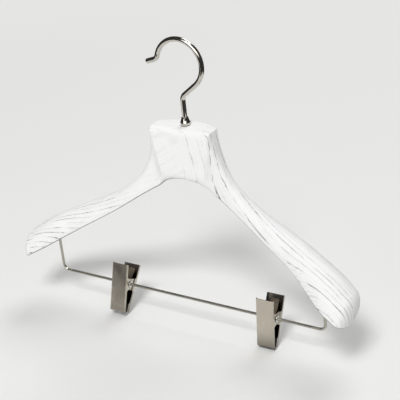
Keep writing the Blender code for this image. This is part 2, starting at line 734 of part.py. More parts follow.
def add_pads(side, finish, parent):
    """Grip pads inside the jaws, whose faces meet upright when the clip is shut."""
    half = CLIP_WIDTH / 2 - SHEET - PAD_SIDE_GAP
    front_seat = PAD_MEETING_Y - PAD_THICKNESS
    front_foot = FRONT_HANDLE_RISE - CLIP_LENGTH + PAD_FOOT_GAP
    builder = bmesh.new()
    extrude_outline(builder, (
        (front_seat, front_foot), (front_seat, front_foot + PAD_HEIGHT),
        (PAD_MEETING_Y, front_foot + PAD_HEIGHT), (PAD_MEETING_Y, front_foot),
    ), -half, half)
    add_object(side + "_clip_front_pad", builder, finish, parent)

    def on_back(height):
        """A point on the back pad's seat at a height along the back plate."""
        y = BACK_PAD_SEAT * cos(BACK_LEAN) + height * sin(BACK_LEAN)
        z = -BACK_PAD_SEAT * sin(BACK_LEAN) + height * cos(BACK_LEAN)
        return y, z

    low, high = on_back(BACK_PAD_FOOT), on_back(BACK_PAD_FOOT + PAD_HEIGHT)
    face = PAD_MEETING_Y + FIT_GAP
    builder = bmesh.new()
    extrude_outline(builder, (low, high, (face, high[1]), (face, low[1])), -half, half)
    add_object(side + "_clip_back_pad", builder, finish, parent)


def add_clip(side, place, tilt, finishes):
    """One trouser clip on its pivot, which lies on the axis of the bar."""
    pivot = bpy.data.objects.new(side + "_clip_pivot", None)
    bpy.context.scene.collection.objects.link(pivot)
    pivot.location = (place, BAR_SETBACK, BAR_Z)
    pivot.rotation_euler.x = -tilt
    front_low = FRONT_HANDLE_RISE - CLIP_LENGTH
    add_channel(
        side + "_clip_front_plate", FRONT_FACE_OFFSET, -1, front_low, FRONT_HANDLE_RISE,
        plate_side(FRONT_FACE_OFFSET, -1, front_low, FRONT_HANDLE_RISE, FRONT_FLANGE, []),
        0.0, finishes["plate"], pivot, 0.0,
    )
    back_low = BACK_HANDLE_RISE - CLIP_LENGTH
    toe_edge, toe_top = BACK_FACE_OFFSET - BACK_TOE_FLANGE, back_low + BACK_TOE_HEIGHT
    toe = [
        (toe_edge, back_low - CUT_OVERRUN), (toe_edge, toe_top), (BACK_FACE_OFFSET - BACK_FLANGE, toe_top),
    ]
    add_channel(
        side + "_clip_back_plate", BACK_FACE_OFFSET, 1, back_low, BACK_HANDLE_RISE,
        plate_side(BACK_FACE_OFFSET, 1, back_low, BACK_HANDLE_RISE, BACK_FLANGE, toe),
        EAR_STEP, finishes["plate"], pivot, -BACK_LEAN,
    )
    add_rivet(side + "_clip_rivet", finishes["rivet"], pivot)
    add_spring(side + "_clip_spring", finishes["spring"], pivot)
    add_pads(side, finishes["pad"], pivot)


def build():
    clear_scene()
    painted_wood = material("painted_wood", (0.90, 0.90, 0.89), 0.38, 0.0)
    dowel_wood = material("dowel_wood", (0.70, 0.55, 0.38), 0.70, 0.0)
    hook_nickel = material("hook_nickel", (0.42, 0.40, 0.37), 0.25, 1.0)
    bush_steel = material("bush_steel", (0.55, 0.55, 0.54), 0.40, 1.0)
    bar_nickel = material("bar_nickel", (0.48, 0.46, 0.41), 0.28, 1.0)
    clip_finishes = {
        "plate": material("clip_nickel", (0.55, 0.50, 0.44), 0.30, 1.0),
        "rivet": material("rivet_nickel", (0.70, 0.68, 0.64), 0.25, 1.0),
        "spring": material("spring_steel", (0.45, 0.38, 0.30), 0.32, 1.0),
        "pad": material("black_rubber", (0.02, 0.02, 0.02), 0.55, 0.0),
    }
    add_arms(painted_wood)
    add_dowels(dowel_wood)
    add_hook(hook_nickel)
    add_swivel_seat(bush_steel, hook_nickel)
    add_bar(bar_nickel)
    for side, values in CLIPS.items():
        add_clip(side, values["place"], values["tilt"], clip_finishes)


build()
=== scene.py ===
"""Looks of the wooden suit hanger: white open-pore paint on ash, nickel-plated wire and sprung metal clips.

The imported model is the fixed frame. Its turned, bent and carved pieces are made again here with fine
surfaces, in the same places, and every piece gets its finish. Units are metres, +Z is up and -Y is the
front.
"""
from collections import namedtuple
from math import acos, atan2, cos, hypot, pi, radians, sin, sqrt, tan

import bmesh
import bpy
from mathutils import Matrix, Vector


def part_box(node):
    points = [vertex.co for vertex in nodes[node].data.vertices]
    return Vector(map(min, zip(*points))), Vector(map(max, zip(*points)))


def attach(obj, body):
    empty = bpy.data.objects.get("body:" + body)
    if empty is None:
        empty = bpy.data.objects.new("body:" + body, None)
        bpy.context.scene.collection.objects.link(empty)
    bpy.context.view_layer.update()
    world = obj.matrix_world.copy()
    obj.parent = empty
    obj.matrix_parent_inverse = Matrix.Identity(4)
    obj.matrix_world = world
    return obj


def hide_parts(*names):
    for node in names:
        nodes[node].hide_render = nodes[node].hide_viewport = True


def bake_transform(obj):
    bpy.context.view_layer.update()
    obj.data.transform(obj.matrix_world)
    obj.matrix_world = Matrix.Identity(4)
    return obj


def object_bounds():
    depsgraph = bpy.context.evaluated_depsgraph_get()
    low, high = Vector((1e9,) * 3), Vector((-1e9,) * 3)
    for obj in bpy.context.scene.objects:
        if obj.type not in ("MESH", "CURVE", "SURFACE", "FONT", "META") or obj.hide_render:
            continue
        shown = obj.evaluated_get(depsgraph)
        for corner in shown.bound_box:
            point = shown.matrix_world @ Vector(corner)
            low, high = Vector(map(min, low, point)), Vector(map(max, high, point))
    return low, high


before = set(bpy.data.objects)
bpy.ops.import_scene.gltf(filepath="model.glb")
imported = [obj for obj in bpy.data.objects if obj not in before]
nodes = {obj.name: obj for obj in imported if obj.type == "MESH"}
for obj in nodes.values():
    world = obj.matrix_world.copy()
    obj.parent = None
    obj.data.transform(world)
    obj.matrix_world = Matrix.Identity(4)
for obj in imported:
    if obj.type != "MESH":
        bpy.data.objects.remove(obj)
cad_box = [list(corner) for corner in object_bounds()]

# Camera: where the photograph was taken from
CAMERA_PLACE = Vector((0.56213, -0.82133, 0.32038))
CAMERA_AZIMUTH = radians(34.034)
CAMERA_DOWN = radians(26.029)
CAMERA_ROLL = radians(6.077)
CAMERA_LENS_MM = 100.1
CAMERA_SENSOR_MM = 36.0

# Head and arms, as in the part
HEAD_TOP_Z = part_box("left_arm")[1].z
HEAD_HALF_WIDTH = 0.0335
HEAD_HEIGHT = 0.0511
HEAD_THICKNESS = 0.0282
HEAD_FRONT_Y = -0.0150
ARM_REACH = 0.1895
UNDERSIDE_FALL = 0.0976
CROWN_FALL = 0.1288
ARM_SWEEP = 0.0445
NECK_THICKNESS = 0.0126
PADDLE_DEPTH = 0.0508
TIP_LENGTH = 0.0128
UNDERSIDE_SHARES = (
    (0.0, 0.0), (0.070, 0.014), (0.119, 0.036), (0.146, 0.080), (0.173, 0.137), (0.211, 0.184),
    (0.291, 0.284), (0.459, 0.496), (0.647, 0.704), (0.836, 0.905), (0.928, 1.0),
)
CROWN_SHARES = (
    (0.0, 0.0), (0.019, 0.104), (0.041, 0.214), (0.077, 0.325), (0.146, 0.450),
    (0.318, 0.618), (0.565, 0.761), (0.845, 0.911), (0.960, 1.0),
)
SWEEP_SHARES = (0.0, 0.0, 0.0, -0.066, -0.098, -0.075, -0.015, 0.136, 0.386, 0.868, 1.0)
DEPTH_SHARES = (
    (1.0, 0.0), (0.80, 0.0), (0.38, 0.0), (0.06, 0.0), (0.01, 0.0), (0.0, 0.05),
    (0.0, 0.155), (0.0, 0.42), (0.0, 0.67), (0.0, 1.0), (0.0, 0.985),
)
CROWNED_SHARES = (0.0, 0.0, 0.0, 0.05, 0.20, 0.50, 0.85, 1.0, 1.0, 1.0, 1.0)
# A crown's edge: its radius on the head, and the shares of height and depth that it takes on the paddle
FRONT_CROWN = (0.0055, 0.95, 0.51)
BACK_CROWN = (0.0015, 0.90, 0.47)
TIP_PLAN_POWER = 2.1
TIP_SIDE_POWER = 2.07
TIP_SLOPE_SHARE = 0.05
CORNER_STATION = 2
LAST_STATION = 10
# At each station: how far the softer lower front edge runs back and up, and how far the underside drops
FOOT_RUNS = (0.0027, 0.0042, 0.0054, 0.0030) + 7 * (0.0009,)
FOOT_RISES = (0.0060, 0.0090, 0.0110, 0.0060) + 7 * (0.0009,)
ARCH_DROPS = (0.0011, 0.0020, 0.0036, 0.0028, 0.0014, 0.0010, 0.0005, 0.0003, 0.0, 0.0, 0.0)
# Painted shade on the lower front edge: how high up the edge it reaches, and how far above that it fades out
EDGE_SHADE_HEIGHT = 0.00095
EDGE_SHADE_FADE = 0.0003
LOWER_EDGE = "lower_edge"
UNDERSIDE_BACK_RADIUS = 0.0012
CORNER_SOFTNESS = 0.07
SEAM_GAP = 0.00004
HEAD_STEPS = 22
CORNER_STEPS = 10
ARM_STEPS = 130
TIP_STEPS = 34
TIP_END_STEP = 0.15
FRONT_ARC_STEPS = 21
BACK_ARC_STEPS = 17
EDGE_ARC_STEPS = 8

# Mesh tools
SHARP_ANGLE = radians(34.0)
BEVEL_SEGMENTS = 3
HOLE_SIDES = 40


def link(obj):
    """Put a new object into the scene."""
    bpy.context.scene.collection.objects.link(obj)
    return obj


def mesh_from(name, builder, closed=True):
    """Mesh from a bmesh, with a closed one's faces turned outwards."""
    if closed:
        bmesh.ops.recalc_face_normals(builder, faces=builder.faces)
    mesh = bpy.data.meshes.new(name)
    builder.to_mesh(mesh)
    builder.free()
    return mesh


def carve(piece, builder, operation):
    """Combine a piece with a tool and keep the result as its mesh."""
    tool = link(bpy.data.objects.new("tool", mesh_from("tool", builder)))
    cut = piece.modifiers.new("cut", "BOOLEAN")
    cut.object = tool
    cut.operation = operation
    cut.solver = "EXACT"
    depsgraph = bpy.context.evaluated_depsgraph_get()
    result = bpy.data.meshes.new_from_object(piece.evaluated_get(depsgraph))
    piece.modifiers.clear()
    piece.data = result
    bpy.data.objects.remove(tool, do_unlink=True)


def add_piece(node, form, builder, finish, body, cuts=(), place=None, edge=0.0):
    """Turn a bmesh into a piece that rides on a body and takes the place of a CAD node.

    cuts are pairs of operation and tool, place is where the finished piece goes, and edge eases its corners.
    A piece without a body is attached to none.
    """
    name = "%s_%s" % (node, form)
    piece = link(bpy.data.objects.new(name, mesh_from(name, builder)))
    for operation, tool in cuts:
        carve(piece, tool, operation)
    mesh = piece.data
    mesh.materials.clear()
    mesh.materials.append(finish)
    if place:
        mesh.transform(place)
    mesh.shade_smooth()
    mesh.set_sharp_from_angle(angle=SHARP_ANGLE)
    if edge:
        bevel = piece.modifiers.new("edges", "BEVEL")
        bevel.width = edge
        bevel.segments = BEVEL_SEGMENTS
        bevel.limit_method = "ANGLE"
        bevel.angle_limit = SHARP_ANGLE
        bevel.harden_normals = True
    if body:
        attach(piece, body)
    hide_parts(node)
    return piece


def loft(rings, joined=False, builder=None):
    """Skin rings that have equal numbers of points, and close both ends or join them."""
    builder = bmesh.new() if builder is None else builder
    loops = [[builder.verts.new(point) for point in ring] for ring in rings]
    count = len(loops[0])
    for near, far in zip(loops, loops[1:] + (loops[:1] if joined else [])):
        for i in range(count):
            j = (i + 1) % count
            builder.faces.new((near[i], near[j], far[j], far[i]))
    if not joined:
        builder.faces.new(reversed(loops[0]))
        builder.faces.new(loops[-1])
    return builder


def turned(profile, sides, along="Z"):
    """Turn a closed outline of (radius, height) points about an axis through the origin."""
    rings = []
    for i in range(sides):
        angle = 2 * pi * i / sides
        ring = [(radius * cos(angle), radius * sin(angle), height) for radius, height in profile]
        rings.append(ring if along == "Z" else [(height, across, up) for across, up, height in ring])
    return loft(rings, joined=True)


def cylinder(radius, start, end, builder=None):
    """Round rod between two points, to drill a hole with."""
    start, end = Vector(start), Vector(end)
    turn = (end - start).to_track_quat("Z", "Y").to_matrix()
    angles = [2 * pi * i / HOLE_SIDES for i in range(HOLE_SIDES)]
    circle = [turn @ Vector((radius * cos(angle), radius * sin(angle), 0.0)) for angle in angles]
    return loft([[centre + point for point in circle] for centre in (start, end)], builder=builder)


def heading(path, i):
    """The way that a path runs at one of its points."""
    return (path[min(i + 1, len(path) - 1)] - path[max(i - 1, 0)]).normalized()


def sweep_wire(path, radii, sides):
    """Sweep a circle along a path that stays in a plane of constant Y."""
    rings, side = [], Vector((0.0, 1.0, 0.0))
    for i, point in enumerate(path):
        lift = heading(path, i).cross(side)
        ring = []
        for j in range(sides):
            angle = 2 * pi * (j + 0.5) / sides
            ring.append(point + radii[i] * (cos(angle) * side + sin(angle) * lift))
        rings.append(ring)
    return loft(rings)


def evenly(start, span, steps):
    """Evenly spaced values over a span."""
    return [start + span * i / steps for i in range(steps + 1)]


def quarter_turn(steps):
    """Angles from 0 to a right angle."""
    return evenly(0.0, pi / 2, steps)


def arc_points(centre, radius, start, end, steps):
    """Points along an arc in a plane of constant Y."""
    turns = evenly(start, end - start, steps)
    return [centre + radius * Vector((cos(angle), 0.0, sin(angle))) for angle in turns]


def smooth_through(values, position):
    """Catmull-Rom curve through a list of numbers, read at a place between them."""
    last = len(values) - 1
    i = min(max(int(position), 0), last - 1)
    t = position - i
    here, there = values[i], values[i + 1]
    before = values[i - 1] if i > 0 else 2 * here - there
    after = values[i + 2] if i + 2 <= last else 2 * there - here
    return 0.5 * (
        2 * here
        + (there - before) * t
        + (2 * before - 5 * here + 4 * there - after) * t ** 2
        + (3 * here - before - 3 * there + after) * t ** 3
    )


def straight_through(values, position):
    """Straight lines through a list of numbers, read at a place between them."""
    i = min(max(int(position), 0), len(values) - 2)
    return values[i] + (values[i + 1] - values[i]) * (position - i)


def pair_at(shares, position):
    """Both numbers of a table of pairs, read at a place between its rows."""
    return [smooth_through(column, position) for column in zip(*shares)]


def underside_point(station):
    """X and Z of the underside."""
    across, down = pair_at(UNDERSIDE_SHARES, station)
    drop = straight_through(ARCH_DROPS, station)
    return Vector((ARM_REACH * across, HEAD_TOP_Z - HEAD_HEIGHT - UNDERSIDE_FALL * down - drop))


def crown_line(station):
    """Flat over the head to its corner, then down the side and along the arm."""
    if station <= CORNER_STATION:
        return Vector((HEAD_HALF_WIDTH * station / CORNER_STATION, HEAD_TOP_Z))
    across, down = pair_at(CROWN_SHARES, station - CORNER_STATION)
    reach = ARM_REACH - HEAD_HALF_WIDTH
    return Vector((HEAD_HALF_WIDTH + reach * across, HEAD_TOP_Z - CROWN_FALL * down))


def crown_point(station):
    """The crown's line with the head's corner eased."""
    if abs(station - CORNER_STATION) >= CORNER_SOFTNESS:
        return crown_line(station)
    reach = CORNER_SOFTNESS - abs(station - CORNER_STATION)
    return (crown_line(station - reach) + 2 * crown_line(station) + crown_line(station + reach)) / 4


def front_and_back(station):
    """Y of the front and the back face."""
    front = HEAD_FRONT_Y - ARM_SWEEP * smooth_through(SWEEP_SHARES, station)
    head, paddle = pair_at(DEPTH_SHARES, station)
    depth = HEAD_THICKNESS * head + PADDLE_DEPTH * paddle + NECK_THICKNESS * (1 - head - paddle)
    return front, front + depth


def section(under, crown, front, back, crowned, foot_run=FOOT_RUNS[-1], foot_rise=FOOT_RISES[-1]):
    """Closed section from the underside to the crown, with its corners rounded."""
    height = (crown - under).length
    rise = (crown - under) / height
    depth = back - front

    def rise_and_run(edge, *shares):
        return [edge * (1 - crowned) + share * full * crowned for share, full in zip(shares, (height, depth))]

    front_rise, front_run = rise_and_run(*FRONT_CROWN)
    back_rise, back_run = rise_and_run(*BACK_CROWN)
    room = (height - front_rise) / (foot_rise + EDGE_SHADE_FADE)
    small = max(min(1.0, room, depth / (4 * UNDERSIDE_BACK_RADIUS)), 0.0)
    foot_back = UNDERSIDE_BACK_RADIUS * small
    flat = []
    for angle in quarter_turn(EDGE_ARC_STEPS):
        flat.append((front + foot_run * small * (1 - sin(angle)), foot_rise * small * (1 - cos(angle))))
    flat.append((front, (foot_rise + EDGE_SHADE_FADE) * small))
    for angle in quarter_turn(FRONT_ARC_STEPS):
        flat.append((front + front_run * (1 - cos(angle)), height - front_rise * (1 - sin(angle))))
    for angle in quarter_turn(BACK_ARC_STEPS):
        flat.append((back - back_run * (1 - sin(angle)), height - back_rise * (1 - cos(angle))))
    for angle in quarter_turn(EDGE_ARC_STEPS):
        flat.append((back - foot_back * (1 - cos(angle)), foot_back * (1 - sin(angle))))
    return [Vector((under.x + rise.x * up, y, under.y + rise.y * up)) for y, up in flat]


def arm_sections():
    """All sections of the right half, from the seam to the tip of the paddle."""
    places = evenly(0.0, CORNER_STATION, HEAD_STEPS)[:-1]
    places += [CORNER_STATION + CORNER_SOFTNESS * share for share in evenly(-1.0, 2.0, CORNER_STEPS)]
    places += evenly(CORNER_STATION, LAST_STATION - CORNER_STATION, ARM_STEPS)[1:]
    rings = []
    for place in sorted(places):
        front, back = front_and_back(place)
        crowned = min(max(straight_through(CROWNED_SHARES, place), 0.0), 1.0)
        rings.append(section(
            underside_point(place), crown_point(place), front, back, crowned,
            straight_through(FOOT_RUNS, place), straight_through(FOOT_RISES, place),
        ))
    for point in rings[0]:
        point.x = SEAM_GAP / 2
    return rings + tip_sections()


def tip_sections():
    """Sections past the last station, which round the paddle's end in plan and from the side."""
    under, crown = underside_point(LAST_STATION), crown_point(LAST_STATION)
    before = underside_point(LAST_STATION - TIP_SLOPE_SHARE)
    run = (under - before).normalized()
    front, back = front_and_back(LAST_STATION)
    front_before, back_before = front_and_back(LAST_STATION - TIP_SLOPE_SHARE)
    slope = 1 / (under.x - before.x)
    front_slope = (front - front_before) * slope
    back_slope = (back - back_before) * slope
    rings = []
    for i in range(TIP_STEPS):
        share = sin(pi / 2 * (i + 1) / (TIP_STEPS + TIP_END_STEP))
        plan = (1 - share ** TIP_PLAN_POWER) ** (1 / TIP_PLAN_POWER)
        side = (1 - share ** TIP_SIDE_POWER) ** (1 / TIP_SIDE_POWER)
        foot = under + run * TIP_LENGTH * share
        forward = foot.x - under.x
        low_y, high_y = front + front_slope * forward, back + back_slope * forward
        middle = (low_y + high_y) / 2
        half = (high_y - low_y) / 2 * plan
        rings.append(section(foot, foot + (crown - under) * side, middle - half, middle + half, 1.0))
    return rings


# Bores in the wood, from the frame
BORE_GAP = 0.0003
BAR_SEAT_GAP = BORE_GAP / 3
BUSH_LOW, BUSH_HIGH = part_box("hook_bush")
BUSH_RADIUS = (BUSH_HIGH.x - BUSH_LOW.x) / 2
BAR_LOW, BAR_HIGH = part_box("trouser_bar")
BAR_RADIUS = (BAR_HIGH.y - BAR_LOW.y) / 2
BAR_Y = (BAR_HIGH.y + BAR_LOW.y) / 2
BAR_Z = BAR_LOW.z + BAR_RADIUS
BAR_HALF_SPAN = BAR_HIGH.x - BAR_RADIUS
BAR_BEND_RADIUS = 0.0065
OVERRUN = 0.002

# The arms' boards: which side, a place on the pith and the way that it runs, the width of the growth rings
# and where they start, and how far from the seam the lines come up from faint to full
Board = namedtuple("Board", "side pith pith_run ring ring_start quiet")
BOARDS = {
    "left": Board(-1.0, (0.09, 0.022, -0.131), (1.0, -0.038, -0.476), 0.00414, 0.0532, (0.060, 0.105)),
    "right": Board(1.0, (0.09, 1.398, -0.040), (1.0, -0.379, 0.085), 0.00436, 1.3313, (0.020, 0.031)),
}


def mark_lower_edge(builder, rings):
    """Mark the points of the lower front edge, which the paint darkens as painted shade."""
    mark = builder.verts.layers.float.new(LOWER_EDGE)
    builder.verts.ensure_lookup_table()
    count = len(rings[0])
    for i, ring in enumerate(rings):
        for j in range(EDGE_ARC_STEPS + 1):
            rise = hypot(ring[j].x - ring[0].x, ring[j].z - ring[0].z)
            builder.verts[i * count + j][mark] = 1.0 if rise <= EDGE_SHADE_HEIGHT else 0.0


def arm_holes(side):
    """Tools that cut the seats of the bush, the bar's leg and the two dowels."""
    leg = (side * BAR_HALF_SPAN, BAR_Y)
    bush_hole = cylinder(
        BUSH_RADIUS + BORE_GAP, (0.0, 0.0, BUSH_LOW.z - BORE_GAP), (0.0, 0.0, HEAD_TOP_Z + OVERRUN),
    )
    bar_hole = cylinder(
        BAR_RADIUS + BAR_SEAT_GAP, (*leg, BAR_Z + BAR_BEND_RADIUS), (*leg, BAR_HIGH.z + BORE_GAP),
    )
    dowel_holes = bmesh.new()
    for dowel in ("upper_dowel", "lower_dowel"):
        low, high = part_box(dowel)
        level, radius = (low.z + high.z) / 2, (high.z - low.z) / 2
        ends = [(x, 0.0, level) for x in (low.x - BORE_GAP, high.x + BORE_GAP)]
        cylinder(radius + BORE_GAP, *ends, dowel_holes)
    return [("DIFFERENCE", tool) for tool in (bush_hole, bar_hole, dowel_holes)]


def add_arm(name, board):
    """Half of the head with its shoulder, in painted ash."""
    rings = [[Vector((board.side * p.x, p.y, p.z)) for p in ring] for ring in arm_sections()]
    builder = loft(rings)
    mark_lower_edge(builder, rings)
    finish = painted_ash(name + "_painted_ash", board)
    add_piece(name + "_arm", "wood", builder, finish, "hanger", arm_holes(board.side))


# Hook and ferrule
HOOK_WIRE_RADIUS = 0.0025
HOOK_RING_RADIUS = 0.0248
HOOK_NECK_RADIUS = 0.0082
HOOK_NECK_ANGLE = radians(40.0)
HOOK_RING_END = radians(164.0)
HOOK_TIP_RADIUS = 0.0066
HOOK_TIP_TURN = radians(56.0)
HOOK_TIP_LENGTH = 0.0088
HOOK_FLANGE_RADIUS = 0.0034
HOOK_FLANGE_THICKNESS = 0.0022
HOOK_FLANGE_EDGE = 0.0005
HOOK_END_EDGE = 0.0006
HOOK_SIDES = 40
HOOK_BEND_STEPS = 24
HOOK_RING_STEPS = 130
HOOK_END_STEPS = 4
RING_CENTRE_Z = HOOK_WIRE_RADIUS - HOOK_RING_RADIUS
HOOK_FOOT_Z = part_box("hook")[0].z


def hook_path():
    """Centre line of the hook and its radius at each point, from the flange up to the tip."""
    foot, top = HOOK_FOOT_Z, HOOK_FOOT_Z + HOOK_FLANGE_THICKNESS
    rim, edge = HOOK_FLANGE_RADIUS, HOOK_FLANGE_EDGE
    points = [Vector((0.0, 0.0, level)) for level in (foot, foot + edge, top - edge, top, top)]
    radii = [rim - edge, rim, rim, rim - edge, HOOK_WIRE_RADIUS]
    turn = pi / 2 - HOOK_NECK_ANGLE
    ring_foot = Vector((HOOK_RING_RADIUS * sin(HOOK_NECK_ANGLE), -HOOK_RING_RADIUS * cos(HOOK_NECK_ANGLE)))
    straight = (ring_foot.x - HOOK_NECK_RADIUS * (1 - cos(turn))) / cos(HOOK_NECK_ANGLE)
    rise = HOOK_NECK_RADIUS * sin(turn) + straight * sin(HOOK_NECK_ANGLE)
    neck_centre = Vector((HOOK_NECK_RADIUS, 0.0, RING_CENTRE_Z + ring_foot.y - rise))
    bends = arc_points(neck_centre, HOOK_NECK_RADIUS, pi, pi - turn, HOOK_BEND_STEPS)
    ring_centre = Vector((0.0, 0.0, RING_CENTRE_Z))
    ring_start = HOOK_NECK_ANGLE - pi / 2
    bends += arc_points(ring_centre, HOOK_RING_RADIUS, ring_start, HOOK_RING_END, HOOK_RING_STEPS)
    out = Vector((cos(HOOK_RING_END), 0.0, sin(HOOK_RING_END)))
    tip_centre = ring_centre + out * (HOOK_RING_RADIUS + HOOK_TIP_RADIUS)
    tip_start = HOOK_RING_END - pi
    tip_end = tip_start - HOOK_TIP_TURN
    bends += arc_points(tip_centre, HOOK_TIP_RADIUS, tip_start, tip_end, HOOK_BEND_STEPS)[1:]
    ahead = Vector((sin(tip_end), 0.0, -cos(tip_end)))
    points += bends
    radii += [HOOK_WIRE_RADIUS] * len(bends)
    for angle in quarter_turn(HOOK_END_STEPS):
        points.append(bends[-1] + ahead * (HOOK_TIP_LENGTH - HOOK_END_EDGE * (1 - sin(angle))))
        radii.append(HOOK_WIRE_RADIUS - HOOK_END_EDGE * (1 - cos(angle)))
    return points, radii


FERRULE_BELLY_SHARE = 0.36
FERRULE_FOOT_SHARE = 0.30
FERRULE_FLARE_POWER = 1.35
FERRULE_NECK_WALL = 0.0006
FERRULE_SOCKET = 0.0038
FERRULE_SEAT_Z = BUSH_HIGH.z + BORE_GAP
FERRULE_SIDES = 64
FERRULE_BELLY_STEPS = 12
FERRULE_FLARE_STEPS = 20


def add_hook(finish):
    """Wire whose foot has a flange under the bush."""
    wire = sweep_wire(*hook_path(), HOOK_SIDES)
    add_piece("hook", "wire", wire, finish, "hook")


def add_ferrule(finish):
    """Bell-shaped collar: a round belly below and a flare up to the hook's stem."""
    low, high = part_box("hook_ferrule")
    radius = (high.x - low.x) / 2
    foot, top = low.z, high.z
    belly = foot + (top - foot) * FERRULE_BELLY_SHARE
    bore = HOOK_WIRE_RADIUS + BORE_GAP
    neck = bore + FERRULE_NECK_WALL
    foot_radius = FERRULE_SOCKET + (radius - FERRULE_SOCKET) * FERRULE_FOOT_SHARE
    outline = [
        (bore, top), (bore, FERRULE_SEAT_Z), (FERRULE_SOCKET, FERRULE_SEAT_Z), (FERRULE_SOCKET, foot),
        (foot_radius, foot),
    ]
    for angle in quarter_turn(FERRULE_BELLY_STEPS)[1:]:
        outline.append((
            foot_radius + (radius - foot_radius) * sin(angle),
            belly - (belly - foot) * cos(angle),
        ))
    for share in evenly(0.0, 1.0, FERRULE_FLARE_STEPS)[1:]:
        swell = (radius - neck) * (1 - share) ** FERRULE_FLARE_POWER
        outline.append((neck + swell, belly + (top - belly) * share))
    shell = turned(outline, FERRULE_SIDES)
    add_piece("hook_ferrule", "shell", shell, finish, "hanger")


# Trouser bar
BAR_END_SHARE = 0.25
BAR_BEND_STEPS = 20
BAR_SIDES = 28


def add_bar(finish):
    """Wire with both ends turned up into the arms."""
    corner = BAR_HALF_SPAN - BAR_BEND_RADIUS
    level = BAR_Z + BAR_BEND_RADIUS
    edge = BAR_RADIUS * BAR_END_SHARE
    top = BAR_HIGH.z
    points = [Vector((-BAR_HALF_SPAN, BAR_Y, height)) for height in (top, top - edge)]
    points += arc_points(Vector((-corner, BAR_Y, level)), BAR_BEND_RADIUS, pi, 1.5 * pi, BAR_BEND_STEPS)
    points += arc_points(Vector((corner, BAR_Y, level)), BAR_BEND_RADIUS, 1.5 * pi, 2 * pi, BAR_BEND_STEPS)
    points += [Vector((BAR_HALF_SPAN, BAR_Y, height)) for height in (top - edge, top)]
    radii = [BAR_RADIUS] * len(points)
    radii[0] = radii[-1] = BAR_RADIUS - edge
    wire = sweep_wire(points, radii, BAR_SIDES)
    add_piece("trouser_bar", "wire", wire, finish, "hanger")


# Clips, as in the part, with bent toes, rolled rivets, eased corners and ribbed pads
CLIP_WIDTH = 0.0189
CLIP_LENGTH = 0.0511
SHEET = 0.0007
FRONT_FACE_OFFSET = 0.0076
FRONT_HANDLE_RISE = 0.0214
FRONT_FLANGE = 0.0021
BACK_FACE_OFFSET = 0.0112
BACK_HANDLE_RISE = 0.0221
BACK_FLANGE = 0.0030
BACK_TOE_FLANGE = 0.0043
BACK_TOE_HEIGHT = 0.0095
JOGGLE_GAP = 0.0004
JOGGLE_RUN = 0.0014
JOGGLE_RADIUS = 0.0006
TOE_RADIUS = 0.0007
SHEET_BEND_RADIUS = 0.0010
SHEET_INNER_RADIUS = 0.0003
SHEET_EDGE = 0.00012
EAR_RADIUS = 0.0049
EAR_ROOT_UP = 0.0072
EAR_ROOT_DOWN = 0.0067
EAR_ROOT_RADIUS = 0.0012
RIVET_WALL = 0.0005
RIVET_LIP_RADIUS = 0.0034
RIVET_LIP_THICKNESS = 0.0005
RIVET_LIP_ROUND = 0.00022
SPRING_THICKNESS = 0.0005
SPRING_WIDTH = 0.0124
SPRING_TOP_WIDTH = 0.0084
SPRING_CORNER_RADIUS = 0.0020
SPRING_FRONT_RISE = 0.0160
SPRING_BACK_RISE = 0.0180
PAD_HEIGHT = 0.0080
PAD_THICKNESS = 0.0030
BACK_PAD_TOE = 0.0030
PAD_FOOT_GAP = 0.0008
PAD_SIDE_GAP = 0.0006
PAD_RIBS = 5
PAD_GROOVE = 0.0004
RIB_FACE_SHARE = 0.6
GROOVE_SHARES = (0.7, 0.9)
ROUNDING_STEPS = 6
EAR_STEPS = 32
SPRING_TIP_STEPS = 8
SPRING_TURN_STEPS = 36
RIVET_SIDES = 48
CLIP_TILTS = {"left": radians(18.0), "right": radians(5.5)}

RIVET_BORE = BAR_RADIUS + BORE_GAP
RIVET_RADIUS = RIVET_BORE + RIVET_WALL
EAR_STEP = SHEET + BORE_GAP
JOGGLE_START = EAR_RADIUS + JOGGLE_GAP
PAD_MEETING_Y = PAD_THICKNESS + SHEET + BORE_GAP - FRONT_FACE_OFFSET
BACK_PAD_SEAT = BACK_FACE_OFFSET - SHEET - BORE_GAP
BACK_PAD_FOOT = BACK_HANDLE_RISE - CLIP_LENGTH + PAD_FOOT_GAP
BACK_LEAN = atan2(BACK_PAD_FOOT, BACK_PAD_SEAT) + acos(
    (PAD_MEETING_Y + BORE_GAP + BACK_PAD_TOE) / hypot(BACK_PAD_SEAT, BACK_PAD_FOOT)
)


def eased(corners):
    """Outline whose corners, given as (x, y, radius), are rounded."""
    outline = []
    count = len(corners)
    for i, (x, y, radius) in enumerate(corners):
        if not radius:
            outline.append((x, y))
            continue
        here = Vector((x, y))
        before = (Vector(corners[i - 1][:2]) - here).normalized()
        after = (Vector(corners[(i + 1) % count][:2]) - here).normalized()
        half = before.angle(after) / 2
        middle = here + (before + after).normalized() * radius / sin(half)
        start = here + before * radius / tan(half) - middle
        end = here + after * radius / tan(half) - middle
        first = atan2(start.y, start.x)
        sweep = (atan2(end.y, end.x) - first + pi) % (2 * pi) - pi
        for angle in evenly(first, sweep, ROUNDING_STEPS):
            outline.append((middle.x + radius * cos(angle), middle.y + radius * sin(angle)))
    return outline


def extruded(outline, half):
    """Solid from an outline in the YZ plane, as wide as twice half."""
    return loft([[Vector((x, y, z)) for y, z in outline] for x in (-half, half)])


def upright(outline, low, high):
    """Solid from an outline in the XY plane."""
    return loft([[Vector((x, y, z)) for x, y in outline] for z in (low, high)])


